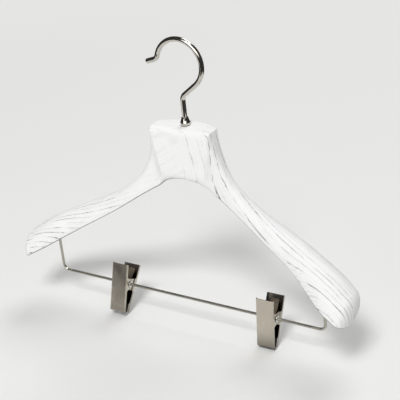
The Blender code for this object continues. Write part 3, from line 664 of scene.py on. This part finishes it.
def plate_plan(plate, inset, end, radius):
    """A plate's web and flanges seen from above, with ears that stand in by its ear_step beyond a joggle."""
    half = CLIP_WIDTH / 2 - inset
    side = [(half, plate.face - inset, radius)]
    if plate.ear_step:
        ramp = JOGGLE_START + JOGGLE_RUN
        side += [(half, ramp, JOGGLE_RADIUS), (half - plate.ear_step, JOGGLE_START, JOGGLE_RADIUS)]
    side.append((half - plate.ear_step, end, 0.0))
    right = [(x, plate.facing * y, ease) for x, y, ease in side]
    return eased(right + [(-x, y, ease) for x, y, ease in reversed(right)])


def plate_side(plate):
    """Side outline of a plate: its foot, flanges along the web and an ear that is round about the pivot."""
    face, edge, top = plate.face + OVERRUN, plate.face - plate.flange, plate.rise + OVERRUN

    def ear_angle(root):
        return atan2(root, edge) + acos(EAR_RADIUS / hypot(root, edge))

    start, end = -ear_angle(EAR_ROOT_DOWN), ear_angle(EAR_ROOT_UP) - 2 * pi
    foot = plate.foot(plate.face, plate.rise - CLIP_LENGTH, plate.flange)
    corners = foot + [(edge, -EAR_ROOT_DOWN, EAR_ROOT_RADIUS)]
    for angle in evenly(start, end - start, EAR_STEPS):
        corners.append((EAR_RADIUS * cos(angle), EAR_RADIUS * sin(angle), 0.0))
    corners += [(edge, EAR_ROOT_UP, EAR_ROOT_RADIUS), (edge, top, 0.0), (face, top, 0.0)]
    return [(plate.facing * y, z) for y, z in eased(corners)]


def bent_foot(offset, low, flange):
    """Foot of the front plate, whose lower edge is bent in."""
    over = low + 2 * SHEET_BEND_RADIUS
    return [
        (offset + OVERRUN, over, 0.0), (offset, over, 0.0),
        (offset, low, SHEET_BEND_RADIUS), (offset - flange, low, 0.0),
    ]


def deep_foot(offset, low, flange):
    """Foot of the back plate, whose flanges are deeper beside the pad."""
    toe, toe_top = offset - BACK_TOE_FLANGE, low + BACK_TOE_HEIGHT
    return [
        (offset + OVERRUN, low, 0.0), (toe, low, TOE_RADIUS),
        (toe, toe_top, TOE_RADIUS), (offset - flange, toe_top, TOE_RADIUS),
    ]


Plate = namedtuple("Plate", "name face facing rise flange foot ear_step floor")
FRONT_PLATE = Plate(
    "front_plate", FRONT_FACE_OFFSET, -1, FRONT_HANDLE_RISE, FRONT_FLANGE, bent_foot, 0.0, SHEET,
)
BACK_PLATE = Plate(
    "back_plate", BACK_FACE_OFFSET, 1, BACK_HANDLE_RISE, BACK_FLANGE, deep_foot, EAR_STEP, -OVERRUN,
)


def add_plate(side, plate, finish, body, place):
    """A plate pressed from sheet: a solid trimmed to its side, hollowed, with the rivet's hole."""
    low, high, reach = plate.rise - CLIP_LENGTH, plate.rise, CLIP_WIDTH / 2 + OVERRUN
    inside = plate_plan(plate, SHEET, -EAR_RADIUS - OVERRUN, SHEET_INNER_RADIUS)
    hole = cylinder(RIVET_RADIUS + BORE_GAP, (-reach, 0.0, 0.0), (reach, 0.0, 0.0))
    cuts = [
        ("INTERSECT", extruded(plate_side(plate), reach)),
        ("DIFFERENCE", upright(inside, low + plate.floor, high + OVERRUN)),
        ("DIFFERENCE", hole),
    ]
    sheet = upright(plate_plan(plate, 0.0, -EAR_RADIUS, SHEET_BEND_RADIUS), low, high)
    node = "%s_clip_%s" % (side, plate.name)
    add_piece(node, "sheet", sheet, finish, body, cuts, place, SHEET_EDGE)


def leg_points(top, foot):
    """Points down a spring's leg, close together where its end is rounded."""
    points = []
    for angle in quarter_turn(SPRING_TIP_STEPS):
        drop = SPRING_CORNER_RADIUS * (1 - cos(angle))
        points.append(top.lerp(foot, drop / (foot - top).length))
    return points


def on_back(offset, height):
    """Y and Z of a place on the back plate, which leans away from the front one."""
    return (
        offset * cos(BACK_LEAN) + height * sin(BACK_LEAN),
        height * cos(BACK_LEAN) - offset * sin(BACK_LEAN),
    )


def spring_path():
    """Middle line of the flat spring in the YZ plane: front leg, round under the rivet, back leg."""
    turn = RIVET_RADIUS + BORE_GAP + SPRING_THICKNESS / 2
    seat = SHEET + BORE_GAP + SPRING_THICKNESS / 2
    front_top = Vector((seat - FRONT_FACE_OFFSET, SPRING_FRONT_RISE))
    back_top = Vector(on_back(BACK_FACE_OFFSET - seat, SPRING_BACK_RISE))

    def tangent_angle(point, way):
        return atan2(point.y, point.x) + way * (pi / 2 - atan2(turn, sqrt(point.length ** 2 - turn ** 2)))

    start, end = tangent_angle(front_top, 1), tangent_angle(back_top, -1)
    sweep = (end - start) % (2 * pi)
    front_foot = turn * Vector((cos(start), sin(start)))
    back_foot = turn * Vector((cos(end), sin(end)))
    path = leg_points(front_top, front_foot)
    path += [turn * Vector((cos(angle), sin(angle))) for angle in evenly(start, sweep, SPRING_TURN_STEPS)]
    path += reversed(leg_points(back_top, back_foot))
    return path, (front_top - front_foot).length


def spring_rings():
    """Sections of the flat spring, whose legs taper towards rounded ends."""
    path, leg = spring_path()
    lengths = [0.0]
    for near, far in zip(path, path[1:]):
        lengths.append(lengths[-1] + (far - near).length)
    rings = []
    for i, point in enumerate(path):
        forward = heading(path, i)
        across = Vector((-forward.y, forward.x)) * SPRING_THICKNESS / 2
        from_end = min(lengths[i], lengths[-1] - lengths[i])
        width = SPRING_TOP_WIDTH + (SPRING_WIDTH - SPRING_TOP_WIDTH) * min(from_end / leg, 1.0)
        short = max(SPRING_CORNER_RADIUS - from_end, 0.0)
        half = width / 2 - SPRING_CORNER_RADIUS + sqrt(SPRING_CORNER_RADIUS ** 2 - short ** 2)
        inner, outer = point + across, point - across
        corners = ((-half, inner), (half, inner), (half, outer), (-half, outer))
        rings.append([Vector((x, *spot)) for x, spot in corners])
    return rings


def add_spring(side, finish, place):
    """Flat spring that bends between both plates, on whose handles it presses."""
    strip, node = loft(spring_rings()), side + "_clip_spring"
    leaf = add_piece(node, "leaf", strip, finish, None, (), place, SHEET_EDGE)
    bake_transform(leaf)


def add_rivet(side, finish, place):
    """Hollow rivet with a rolled lip outside each ear."""
    inside = CLIP_WIDTH / 2 + BORE_GAP
    outside = inside + RIVET_LIP_THICKNESS
    half = [
        (RIVET_BORE, outside, RIVET_LIP_ROUND), (RIVET_LIP_RADIUS, outside, RIVET_LIP_ROUND),
        (RIVET_LIP_RADIUS, inside, RIVET_LIP_ROUND / 2), (RIVET_RADIUS, inside, 0.0),
    ]
    corners = half + [(radius, -along, ease) for radius, along, ease in reversed(half)]
    shell = turned(eased(corners), RIVET_SIDES, along="X")
    slider = side + "_clip_slider"
    add_piece(side + "_clip_rivet", "shell", shell, finish, slider, (), place)


def ribbed(face, top, foot, into):
    """Points down a pad's face, with a groove between each pair of ribs."""
    pitch = (top - foot) / PAD_RIBS
    points = []
    for i in range(PAD_RIBS):
        high = top - pitch * i
        points += [(face, high), (face, high - RIB_FACE_SHARE * pitch)]
        if i < PAD_RIBS - 1:
            points += [(face + into, high - share * pitch) for share in GROOVE_SHARES]
    points.append((face, foot))
    return points


def add_pads(side, finish, place):
    """Ribbed grip pads inside the jaws."""
    half = CLIP_WIDTH / 2 - SHEET - PAD_SIDE_GAP
    seat = PAD_MEETING_Y - PAD_THICKNESS
    foot = FRONT_HANDLE_RISE - CLIP_LENGTH + PAD_FOOT_GAP
    front = [(seat, foot), (seat, foot + PAD_HEIGHT)]
    front += ribbed(PAD_MEETING_Y, foot + PAD_HEIGHT, foot, -PAD_GROOVE)
    low, high = (on_back(BACK_PAD_SEAT, BACK_PAD_FOOT + rise) for rise in (0.0, PAD_HEIGHT))
    back = [low, high] + ribbed(PAD_MEETING_Y + BORE_GAP, high[1], low[1], PAD_GROOVE)
    for end, outline in (("front", front), ("back", back)):
        body = "%s_clip_%s" % (side, end)
        pad = extruded(outline, half)
        add_piece(body + "_pad", "ribbed", pad, finish, body, (), place)


def add_clip(side, finishes):
    """A clip at its tilt, with its back plate leaned so that the pads meet."""
    low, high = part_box(side + "_clip_rivet")
    pivot = Matrix.Translation(((low.x + high.x) / 2, BAR_Y, BAR_Z))
    place = pivot @ Matrix.Rotation(-CLIP_TILTS[side], 4, "X")
    leaned = place @ Matrix.Rotation(-BACK_LEAN, 4, "X")
    add_plate(side, FRONT_PLATE, finishes["plate"], side + "_clip_front", place)
    add_plate(side, BACK_PLATE, finishes["plate"], side + "_clip_back", leaned)
    add_spring(side, finishes["spring"], place)
    add_rivet(side, finishes["rivet"], place)
    add_pads(side, finishes["pad"], place)


BUMP_DEPTH = 0.0002


class Shading:
    """The nodes of a material or world, with short forms of those that are used most."""

    def __init__(self, owner):
        owner.use_nodes = True
        self.owner = owner
        self.nodes = owner.node_tree.nodes
        self.join = owner.node_tree.links.new

    def put(self, node, inputs):
        """Set a node's inputs, or join them where a socket is given."""
        for key, value in inputs.items():
            if isinstance(value, bpy.types.NodeSocket):
                self.join(value, node.inputs[key])
            else:
                node.inputs[key].default_value = value
        return node

    def add(self, kind, inputs, **settings):
        node = self.nodes.new(kind)
        for key, value in settings.items():
            setattr(node, key, value)
        return self.put(node, inputs)

    def maths(self, kind, first, second=0.0, third=0.0):
        return self.add("ShaderNodeMath", {0: first, 1: second, 2: third}, operation=kind).outputs[0]

    def vector(self, kind, inputs, output="Vector"):
        return self.add("ShaderNodeVectorMath", inputs, operation=kind).outputs[output]

    def scaled(self, first, share):
        return self.vector("SCALE", {0: first, "Scale": share})

    def along(self, place, way):
        """How far a place lies along a way."""
        return self.vector("DOT_PRODUCT", {0: place, 1: tuple(way)}, "Value")

    def length(self, place):
        return self.vector("LENGTH", {0: place}, "Value")

    def ramp(self, value, low, high, start=0.0, end=1.0, shape="SMOOTHSTEP"):
        inputs = {0: value, 1: low, 2: high, 3: start, 4: end}
        return self.add("ShaderNodeMapRange", inputs, interpolation_type=shape).outputs[0]

    def cloud(self, place, stretch, detail=2.0):
        spread = self.vector("MULTIPLY", {0: place, 1: stretch})
        return self.add("ShaderNodeTexNoise", {"Vector": spread, "Scale": 1.0, "Detail": detail}).outputs[0]

    def place(self):
        return self.add("ShaderNodeTexCoord", {}).outputs["Object"]

    def between(self, share, first, second):
        """A colour between two, by a share."""
        inputs = {0: share, 6: (*first, 1.0), 7: (*second, 1.0)}
        return self.add("ShaderNodeMix", inputs, data_type="RGBA").outputs[2]

    def finish(self, height, bump, inputs):
        """Feed the principled shader, and give it a fine relief."""
        relief = self.add("ShaderNodeBump", {"Height": height, "Strength": bump, "Distance": BUMP_DEPTH})
        self.put(self.nodes["Principled BSDF"], {"Normal": relief.outputs[0], **inputs})
        return self.owner


def new_material(name):
    return Shading(bpy.data.materials.new(name))


# Painted ash. A cloud is how fine its noise is along the grain and in the two ways across it, its edges are
# the values between which it comes up, and a reach is how far a line spreads from its middle.
PAINT_COLOUR = (0.90, 0.90, 0.895)
PORE_COLOUR = (0.10, 0.10, 0.11)
PAINT_ROUGHNESS = 0.55
PORE_ROUGHNESS = 0.80
PAINT_SPECULAR = 0.15
PAINT_BUMP = 0.4
# How dark the painted shade along the arms' lower front edge is
EDGE_SHADE_LEVEL = 0.75
GRAIN_RUN = (0.78, -0.25, -0.57)
SLOW_CLOUD, SLOW_DETAIL, SLOW_WANDER = (26.0, 60.0, 60.0), 3.0, 0.0030
FINE_CLOUD, FINE_WANDER = (260.0, 500.0, 500.0), 0.0008
FADE_CLOUD, FADE_EDGES, FADE_LEVEL = (32.0, 260.0, 70.0), (0.36, 0.56), 0.15
DASH_CLOUD, DASH_EDGES = (420.0, 2400.0, 2400.0), (0.46, 0.54)
FLECK_CLOUD, FLECK_EDGES, FLECK_LEVEL = (240.0, 2400.0, 2400.0), (0.64, 0.72), 0.25
FAINT_RINGS, FAINTEST_RING = 0.5, 0.45
QUIET_LEVEL = 0.22
HEAD_RING, HEAD_RING_LEVEL = 5.0, 0.42
LINE_REACH, LINE_LEVEL = 0.0004, 0.26
DASH_REACH = (0.0001, 0.0006)
THIN_LINES_PER_RING = 3
THIN_REACH, THIN_DASHES, THIN_LEVEL = 0.0003, 0.22, 0.05


def ring_depth(paint, spot, grained, board):
    """How far a place lies from the pith, with the growth rings' wander, from where the rings start."""
    run = Vector(board.pith_run).normalized()
    reach = paint.vector("SUBTRACT", {0: spot, 1: board.pith})
    shift = paint.scaled(tuple(run), paint.along(reach, run))
    depth = paint.length(paint.vector("SUBTRACT", {0: reach, 1: shift}))
    wander = paint.cloud(grained, SLOW_CLOUD, SLOW_DETAIL)
    wander = paint.maths("MULTIPLY_ADD", wander, SLOW_WANDER, -SLOW_WANDER / 2)
    wander = paint.maths("MULTIPLY_ADD", paint.cloud(grained, FINE_CLOUD), FINE_WANDER, wander)
    return paint.maths("ADD", paint.maths("SUBTRACT", depth, board.ring_start), wander)


def ring_distance(paint, depth, spacing):
    """Number of the nearest ring, and the distance to it."""
    turns = paint.maths("DIVIDE", depth, spacing)
    number = paint.maths("ROUND", turns)
    off = paint.maths("ABSOLUTE", paint.maths("SUBTRACT", turns, number))
    return number, paint.maths("MULTIPLY", off, spacing)


def line_fade(paint, spot, grained, number, board):
    """Where lines show: each fades in and out along its length, and all but one are faint near the head."""
    fade = paint.ramp(paint.cloud(grained, FADE_CLOUD), *FADE_EDGES, FADE_LEVEL, 1.0)
    loud = paint.maths("MULTIPLY", paint.maths("COMPARE", number, HEAD_RING, 0.5), HEAD_RING_LEVEL)
    sideways = paint.add("ShaderNodeSeparateXYZ", {0: spot}).outputs[0]
    quiet = paint.ramp(sideways, *board.quiet, QUIET_LEVEL, 1.0)
    return paint.maths("MULTIPLY", fade, paint.maths("MAXIMUM", quiet, loud))


def pore_mask(paint, spot, grained, board):
    """Dark pores: a fine line and dashes along each growth ring, thinner lines between, and flecks."""
    depth = ring_depth(paint, spot, grained, board)
    number, distance = ring_distance(paint, depth, board.ring)
    key = paint.add("ShaderNodeTexWhiteNoise", {"W": number}, noise_dimensions="1D")
    strength = paint.ramp(key.outputs["Value"], 0.0, FAINT_RINGS, FAINTEST_RING, 1.0)
    line = paint.maths("MULTIPLY", paint.ramp(distance, 0.0, LINE_REACH, 1.0, 0.0), LINE_LEVEL)
    broken = paint.ramp(paint.cloud(grained, DASH_CLOUD), *DASH_EDGES)
    dashes = paint.maths("MULTIPLY", broken, paint.ramp(distance, *DASH_REACH, 1.0, 0.0))
    seen = paint.maths("MULTIPLY", paint.maths("MAXIMUM", line, dashes), strength)
    between = ring_distance(paint, depth, board.ring / THIN_LINES_PER_RING)[1]
    thin = paint.maths("MULTIPLY_ADD", broken, THIN_DASHES, THIN_LEVEL)
    thin = paint.maths("MULTIPLY", paint.ramp(between, 0.0, THIN_REACH, 1.0, 0.0), thin)
    flecks = paint.ramp(paint.cloud(grained, FLECK_CLOUD), *FLECK_EDGES, 0.0, FLECK_LEVEL)
    mask = paint.maths("MAXIMUM", paint.maths("MAXIMUM", seen, thin), flecks)
    return paint.maths("MULTIPLY", mask, line_fade(paint, spot, grained, number, board))


def painted_ash(name, board):
    """White open-pore paint over ash, and painted shade along the arm's lower edge."""
    paint = new_material(name)
    grain = Vector(GRAIN_RUN).normalized()
    across = grain.cross(Vector((0.0, 1.0, 0.0))).normalized()
    spot = paint.vector("MULTIPLY", {0: paint.place(), 1: (board.side, 1.0, 1.0)})
    ways = (grain, grain.cross(across), across)
    grained = paint.add("ShaderNodeCombineXYZ", {i: paint.along(spot, way) for i, way in enumerate(ways)})
    mask = pore_mask(paint, spot, grained.outputs[0], board)
    # Painted shade: the marked lower front edge is darkened as if it lay in shadow
    edge = paint.add("ShaderNodeAttribute", {}, attribute_name=LOWER_EDGE).outputs["Fac"]
    mask = paint.maths("MAXIMUM", mask, paint.maths("MULTIPLY", edge, EDGE_SHADE_LEVEL))
    return paint.finish(paint.maths("SUBTRACT", 0.0, mask), PAINT_BUMP, {
        "Base Color": paint.between(mask, PAINT_COLOUR, PORE_COLOUR),
        "Roughness": paint.ramp(mask, 0.0, 1.0, PAINT_ROUGHNESS, PORE_ROUGHNESS),
        "Specular IOR Level": PAINT_SPECULAR,
    })


# Nickel plate, rubber and bare wood
PLATE_CLOUD, PLATE_DETAIL, PLATE_EDGES = (60.0, 60.0, 60.0), 4.0, (0.3, 0.7)
PLATE_TINTS = (0.94, 1.06)
PLATE_BUMP = 0.08
# Painted shade in the clips: how far ambient occlusion looks for other metal, and the range of it that
# darkens the colour
PAINTED_SHADE_REACH = 0.030
PAINTED_SHADE_SHARES = (0.40, 0.92)
ROUGH_DETAIL = 5.0
ROUGH_TINTS = (0.8, 1.2)
ROUGH_BUMP = 0.3


def tinted(colour, tints):
    """The colour a little darker and a little lighter."""
    return [tuple(min(c * tint, 1.0) for c in colour) for tint in tints]


def plated(name, colour, roughness, wander=0.05, inside=1.0):
    """Nickel plate, whose gloss wanders a little.

    inside is the share of the colour that is left where other metal stands close in front, as painted shade
    between the parts.
    """
    metal = new_material(name)
    cloud = metal.cloud(metal.place(), PLATE_CLOUD, PLATE_DETAIL)
    gloss = metal.ramp(cloud, *PLATE_EDGES, roughness - wander, roughness + wander, "LINEAR")
    colour = metal.between(cloud, *tinted(colour, PLATE_TINTS))
    if inside < 1.0:
        # Painted shade: the colour darkens where other metal stands close by
        seen = metal.add("ShaderNodeAmbientOcclusion", {"Distance": PAINTED_SHADE_REACH}).outputs["AO"]
        colour = metal.scaled(colour, metal.ramp(seen, *PAINTED_SHADE_SHARES, inside, 1.0, "LINEAR"))
    return metal.finish(cloud, PLATE_BUMP, {"Base Color": colour, "Roughness": gloss, "Metallic": 1.0})


def plain_rough(name, colour, roughness, scale):
    """Rubber or bare wood with a fine uneven surface."""
    matt = new_material(name)
    cloud = matt.cloud(matt.place(), (scale, scale, scale), ROUGH_DETAIL)
    colour = matt.between(cloud, *tinted(colour, ROUGH_TINTS))
    return matt.finish(cloud, ROUGH_BUMP, {"Base Color": colour, "Roughness": roughness})


# Studio. An azimuth runs from the front, and angles are in degrees.
FLOOR_GAP = 0.0008
FLOOR_HALF = 6.0
FLOOR_COLOUR = (0.825, 0.825, 0.81)
PAPER_ROUGHNESS = 0.9
WORLD_FILL = 0.27
BACKDROP_GLOW = 0.97
FADE_START = 0.55
FADE_END = 1.6
ROOM_HALF = 5.0
ROOM_TINT = (1.0, 0.98, 0.95)
ROOM_IN_METAL = 0.045
TABLE_FRONT = 0.36
TABLE_LEFT = 0.70
TABLE_RIGHT = 0.34
TABLE_BACK = 0.46
WHITE = (1.0, 1.0, 1.0)
CARD_GLOW = 2.4
HIGHLIGHT_DISTANCE = 1.5
HIGHLIGHT_STRIP = (  # azimuth, lowest and highest elevation
    (-20.0, 22.0, 48.0), (20.0, 13.0, 50.0), (56.0, 12.0, 34.0),
)
LAMP_DISTANCE = 4.0
LAMP_AIM = (0.0, 0.0, -0.2)
LAMPS = (  # name, azimuth, elevation, size and watts
    ("key", 14.0, 55.0, 1.2, 90.0),
    ("front", 0.0, 15.0, 2.0, 22.0),
    ("back", 180.0, 50.0, 2.0, 58.0),
)
CLOSEST_SEEN = 0.01


def direction(azimuth, elevation):
    """The way from the hanger out to a place round it."""
    return Vector((sin(azimuth) * cos(elevation), -cos(azimuth) * cos(elevation), sin(elevation)))


def add_camera():
    """The camera of the photograph, rolled about its own line of sight."""
    forward = -direction(CAMERA_AZIMUTH, CAMERA_DOWN)
    level = Vector((cos(CAMERA_AZIMUTH), sin(CAMERA_AZIMUTH), 0.0))
    up = level.cross(forward)
    right = level * cos(CAMERA_ROLL) - up * sin(CAMERA_ROLL)
    above = level * sin(CAMERA_ROLL) + up * cos(CAMERA_ROLL)
    data = bpy.data.cameras.new("camera")
    data.lens = CAMERA_LENS_MM
    data.sensor_width = CAMERA_SENSOR_MM
    data.sensor_fit = "HORIZONTAL"
    data.clip_start = CLOSEST_SEEN
    camera = link(bpy.data.objects.new("camera", data))
    turn = Matrix((right, above, -forward)).transposed().to_4x4()
    camera.matrix_world = Matrix.Translation(CAMERA_PLACE) @ turn
    bpy.context.scene.camera = camera


def background_rays(shading):
    """1 for the rays that show the background: seen straight, mirrored or through glass."""
    path = shading.add("ShaderNodeLightPath", {}).outputs
    straight = shading.maths("MAXIMUM", path["Is Camera Ray"], path["Is Glossy Ray"])
    return shading.maths("MAXIMUM", straight, path["Is Transmission Ray"])


def show_backdrop(shading, kind, share, surface, output):
    """Show the backdrop's even tone by a share, and the surface otherwise."""
    backdrop = shading.add(kind, {"Color": (*FLOOR_COLOUR, 1.0), "Strength": BACKDROP_GLOW})
    mixed = shading.add("ShaderNodeMixShader", {0: share, 1: surface.outputs[0], 2: backdrop.outputs[0]})
    shading.put(shading.nodes[output], {"Surface": mixed.outputs[0]})


def stage_faces(name, faces, finish):
    """A piece of the studio made of flat faces."""
    builder = bmesh.new()
    for corners in faces:
        builder.faces.new([builder.verts.new(corner) for corner in corners])
    piece = link(bpy.data.objects.new(name, mesh_from(name, builder, closed=False)))
    piece.data.materials.append(finish)
    return piece


def add_floor():
    """Pale paper that takes the object's shadow, and far from it fades into the backdrop's tone."""
    half, level = FLOOR_HALF, cad_box[0][2] - FLOOR_GAP
    paper = new_material("floor_paper")
    shader = paper.put(paper.nodes["Principled BSDF"], {
        "Base Color": (*FLOOR_COLOUR, 1.0), "Roughness": PAPER_ROUGHNESS, "Specular IOR Level": 0.0,
    })
    far = paper.ramp(paper.length(paper.place()), FADE_START, FADE_END)
    share = paper.maths("MULTIPLY", far, background_rays(paper))
    show_backdrop(paper, "ShaderNodeEmission", share, shader, "Material Output")
    corners = [(-half, -half, level), (half, -half, level), (half, half, level), (-half, half, level)]
    stage_faces("floor", [corners], paper.owner)


def add_card(name, faces, colour, strength):
    """A glowing card that shows in the metal alone."""
    glow = new_material(name)
    glow.nodes.clear()
    light = glow.add("ShaderNodeEmission", {"Color": (*colour, 1.0), "Strength": strength})
    glow.add("ShaderNodeOutputMaterial", {"Surface": light.outputs[0]})
    card = stage_faces(name, faces, glow.owner)
    for ray in ("camera", "diffuse", "transmission", "volume_scatter", "shadow"):
        setattr(card, "visible_" + ray, False)


def add_dark_room():
    """What the metal mirrors past the white sheet: the dark floor, walls and ceiling of a room."""
    level = cad_box[0][2] - FLOOR_GAP / 2
    toward = direction(CAMERA_AZIMUTH, 0.0)
    beside = Vector((cos(CAMERA_AZIMUTH), sin(CAMERA_AZIMUTH), 0.0))

    def corner(across, near, height=level):
        spot = beside * across + toward * near
        return (spot.x, spot.y, height)

    def floor_strip(left, right, back, front):
        return [corner(left, back), corner(right, back), corner(right, front), corner(left, front)]

    room = ROOM_HALF
    around = [(-room, -room), (room, -room), (room, room), (-room, room)]
    feet, tops = [corner(*spot) for spot in around], [corner(*spot, room) for spot in around]
    faces = [
        floor_strip(-room, room, TABLE_FRONT, room), floor_strip(-room, room, -room, -TABLE_BACK),
        floor_strip(-room, -TABLE_LEFT, -TABLE_BACK, TABLE_FRONT),
        floor_strip(TABLE_RIGHT, room, -TABLE_BACK, TABLE_FRONT),
        tops, *zip(feet, feet[1:] + feet[:1], tops[1:] + tops[:1], tops),
    ]
    add_card("dark_room", faces, ROOM_TINT, ROOM_IN_METAL)


def add_highlight_card():
    """A wide light in front, which gives the hook its long highlight."""
    def corner(azimuth, elevation):
        turn, level = radians(azimuth), HIGHLIGHT_DISTANCE * tan(radians(elevation))
        return (HIGHLIGHT_DISTANCE * sin(turn), -HIGHLIGHT_DISTANCE * cos(turn), level)

    feet = [corner(azimuth, low) for azimuth, low, high in HIGHLIGHT_STRIP]
    tops = [corner(azimuth, high) for azimuth, low, high in HIGHLIGHT_STRIP]
    faces = zip(feet, feet[1:], tops[1:], tops)
    add_card("highlight_card", faces, WHITE, CARD_GLOW)


def add_softbox(name, azimuth, elevation, size, watts):
    """A square lamp, so far from the hanger that it lights floor and arms evenly."""
    data = bpy.data.lights.new(name, "AREA")
    data.shape = "SQUARE"
    data.size = size
    data.energy = watts
    lamp = link(bpy.data.objects.new(name, data))
    out = direction(radians(azimuth), radians(elevation))
    lamp.location = Vector(LAMP_AIM) + out * LAMP_DISTANCE
    lamp.rotation_euler = out.to_track_quat("Z", "Y").to_euler()


def add_world():
    """An even fill for the object, and the backdrop's tone for the rays that show the background."""
    world = Shading(bpy.data.worlds.new("studio"))
    fill = world.put(world.nodes["Background"], {"Color": (*WHITE, 1.0), "Strength": WORLD_FILL})
    show_backdrop(world, "ShaderNodeBackground", background_rays(world), fill, "World Output")
    bpy.context.scene.world = world.owner


def dress_hanger():
    """All the pieces and finishes of the hanger."""
    hook_nickel = plated("hook_nickel", (0.62, 0.595, 0.54), roughness=0.11, wander=0.03)
    bar_nickel = plated("bar_nickel", (0.47, 0.455, 0.395), roughness=0.30)
    bush_steel = plated("bush_steel", (0.55, 0.55, 0.54), roughness=0.40)
    beech = plain_rough("dowel_beech", (0.62, 0.45, 0.28), roughness=0.7, scale=300.0)
    # The clip plates keep 8 % of their colour where their painted shade between the plates is deepest
    clip_finishes = {
        "plate": plated("clip_nickel", (0.57, 0.52, 0.445), roughness=0.24, inside=0.08),
        "rivet": plated("rivet_nickel", (0.72, 0.70, 0.66), roughness=0.22),
        "spring": plated("spring_steel", (0.33, 0.265, 0.20), roughness=0.28),
        "pad": plain_rough("black_rubber", (0.008, 0.008, 0.008), roughness=0.65, scale=900.0),
    }
    for name, board in BOARDS.items():
        add_arm(name, board)
    add_hook(hook_nickel)
    add_ferrule(hook_nickel)
    add_bar(bar_nickel)
    for side in CLIP_TILTS:
        add_clip(side, clip_finishes)
    kept = {"hook_bush": bush_steel, "hook_washer": bush_steel, "upper_dowel": beech, "lower_dowel": beech}
    for node, finish in kept.items():
        nodes[node].data.materials.clear()
        nodes[node].data.materials.append(finish)


def build_studio():
    """Camera, floor, backdrop, the cards that the metal mirrors, and the lamps."""
    add_camera()
    add_floor()
    add_world()
    add_dark_room()
    add_highlight_card()
    for lamp in LAMPS:
        add_softbox(*lamp)
    bpy.context.scene.view_settings.view_transform = "Standard"


dress_hanger()
build_studio()
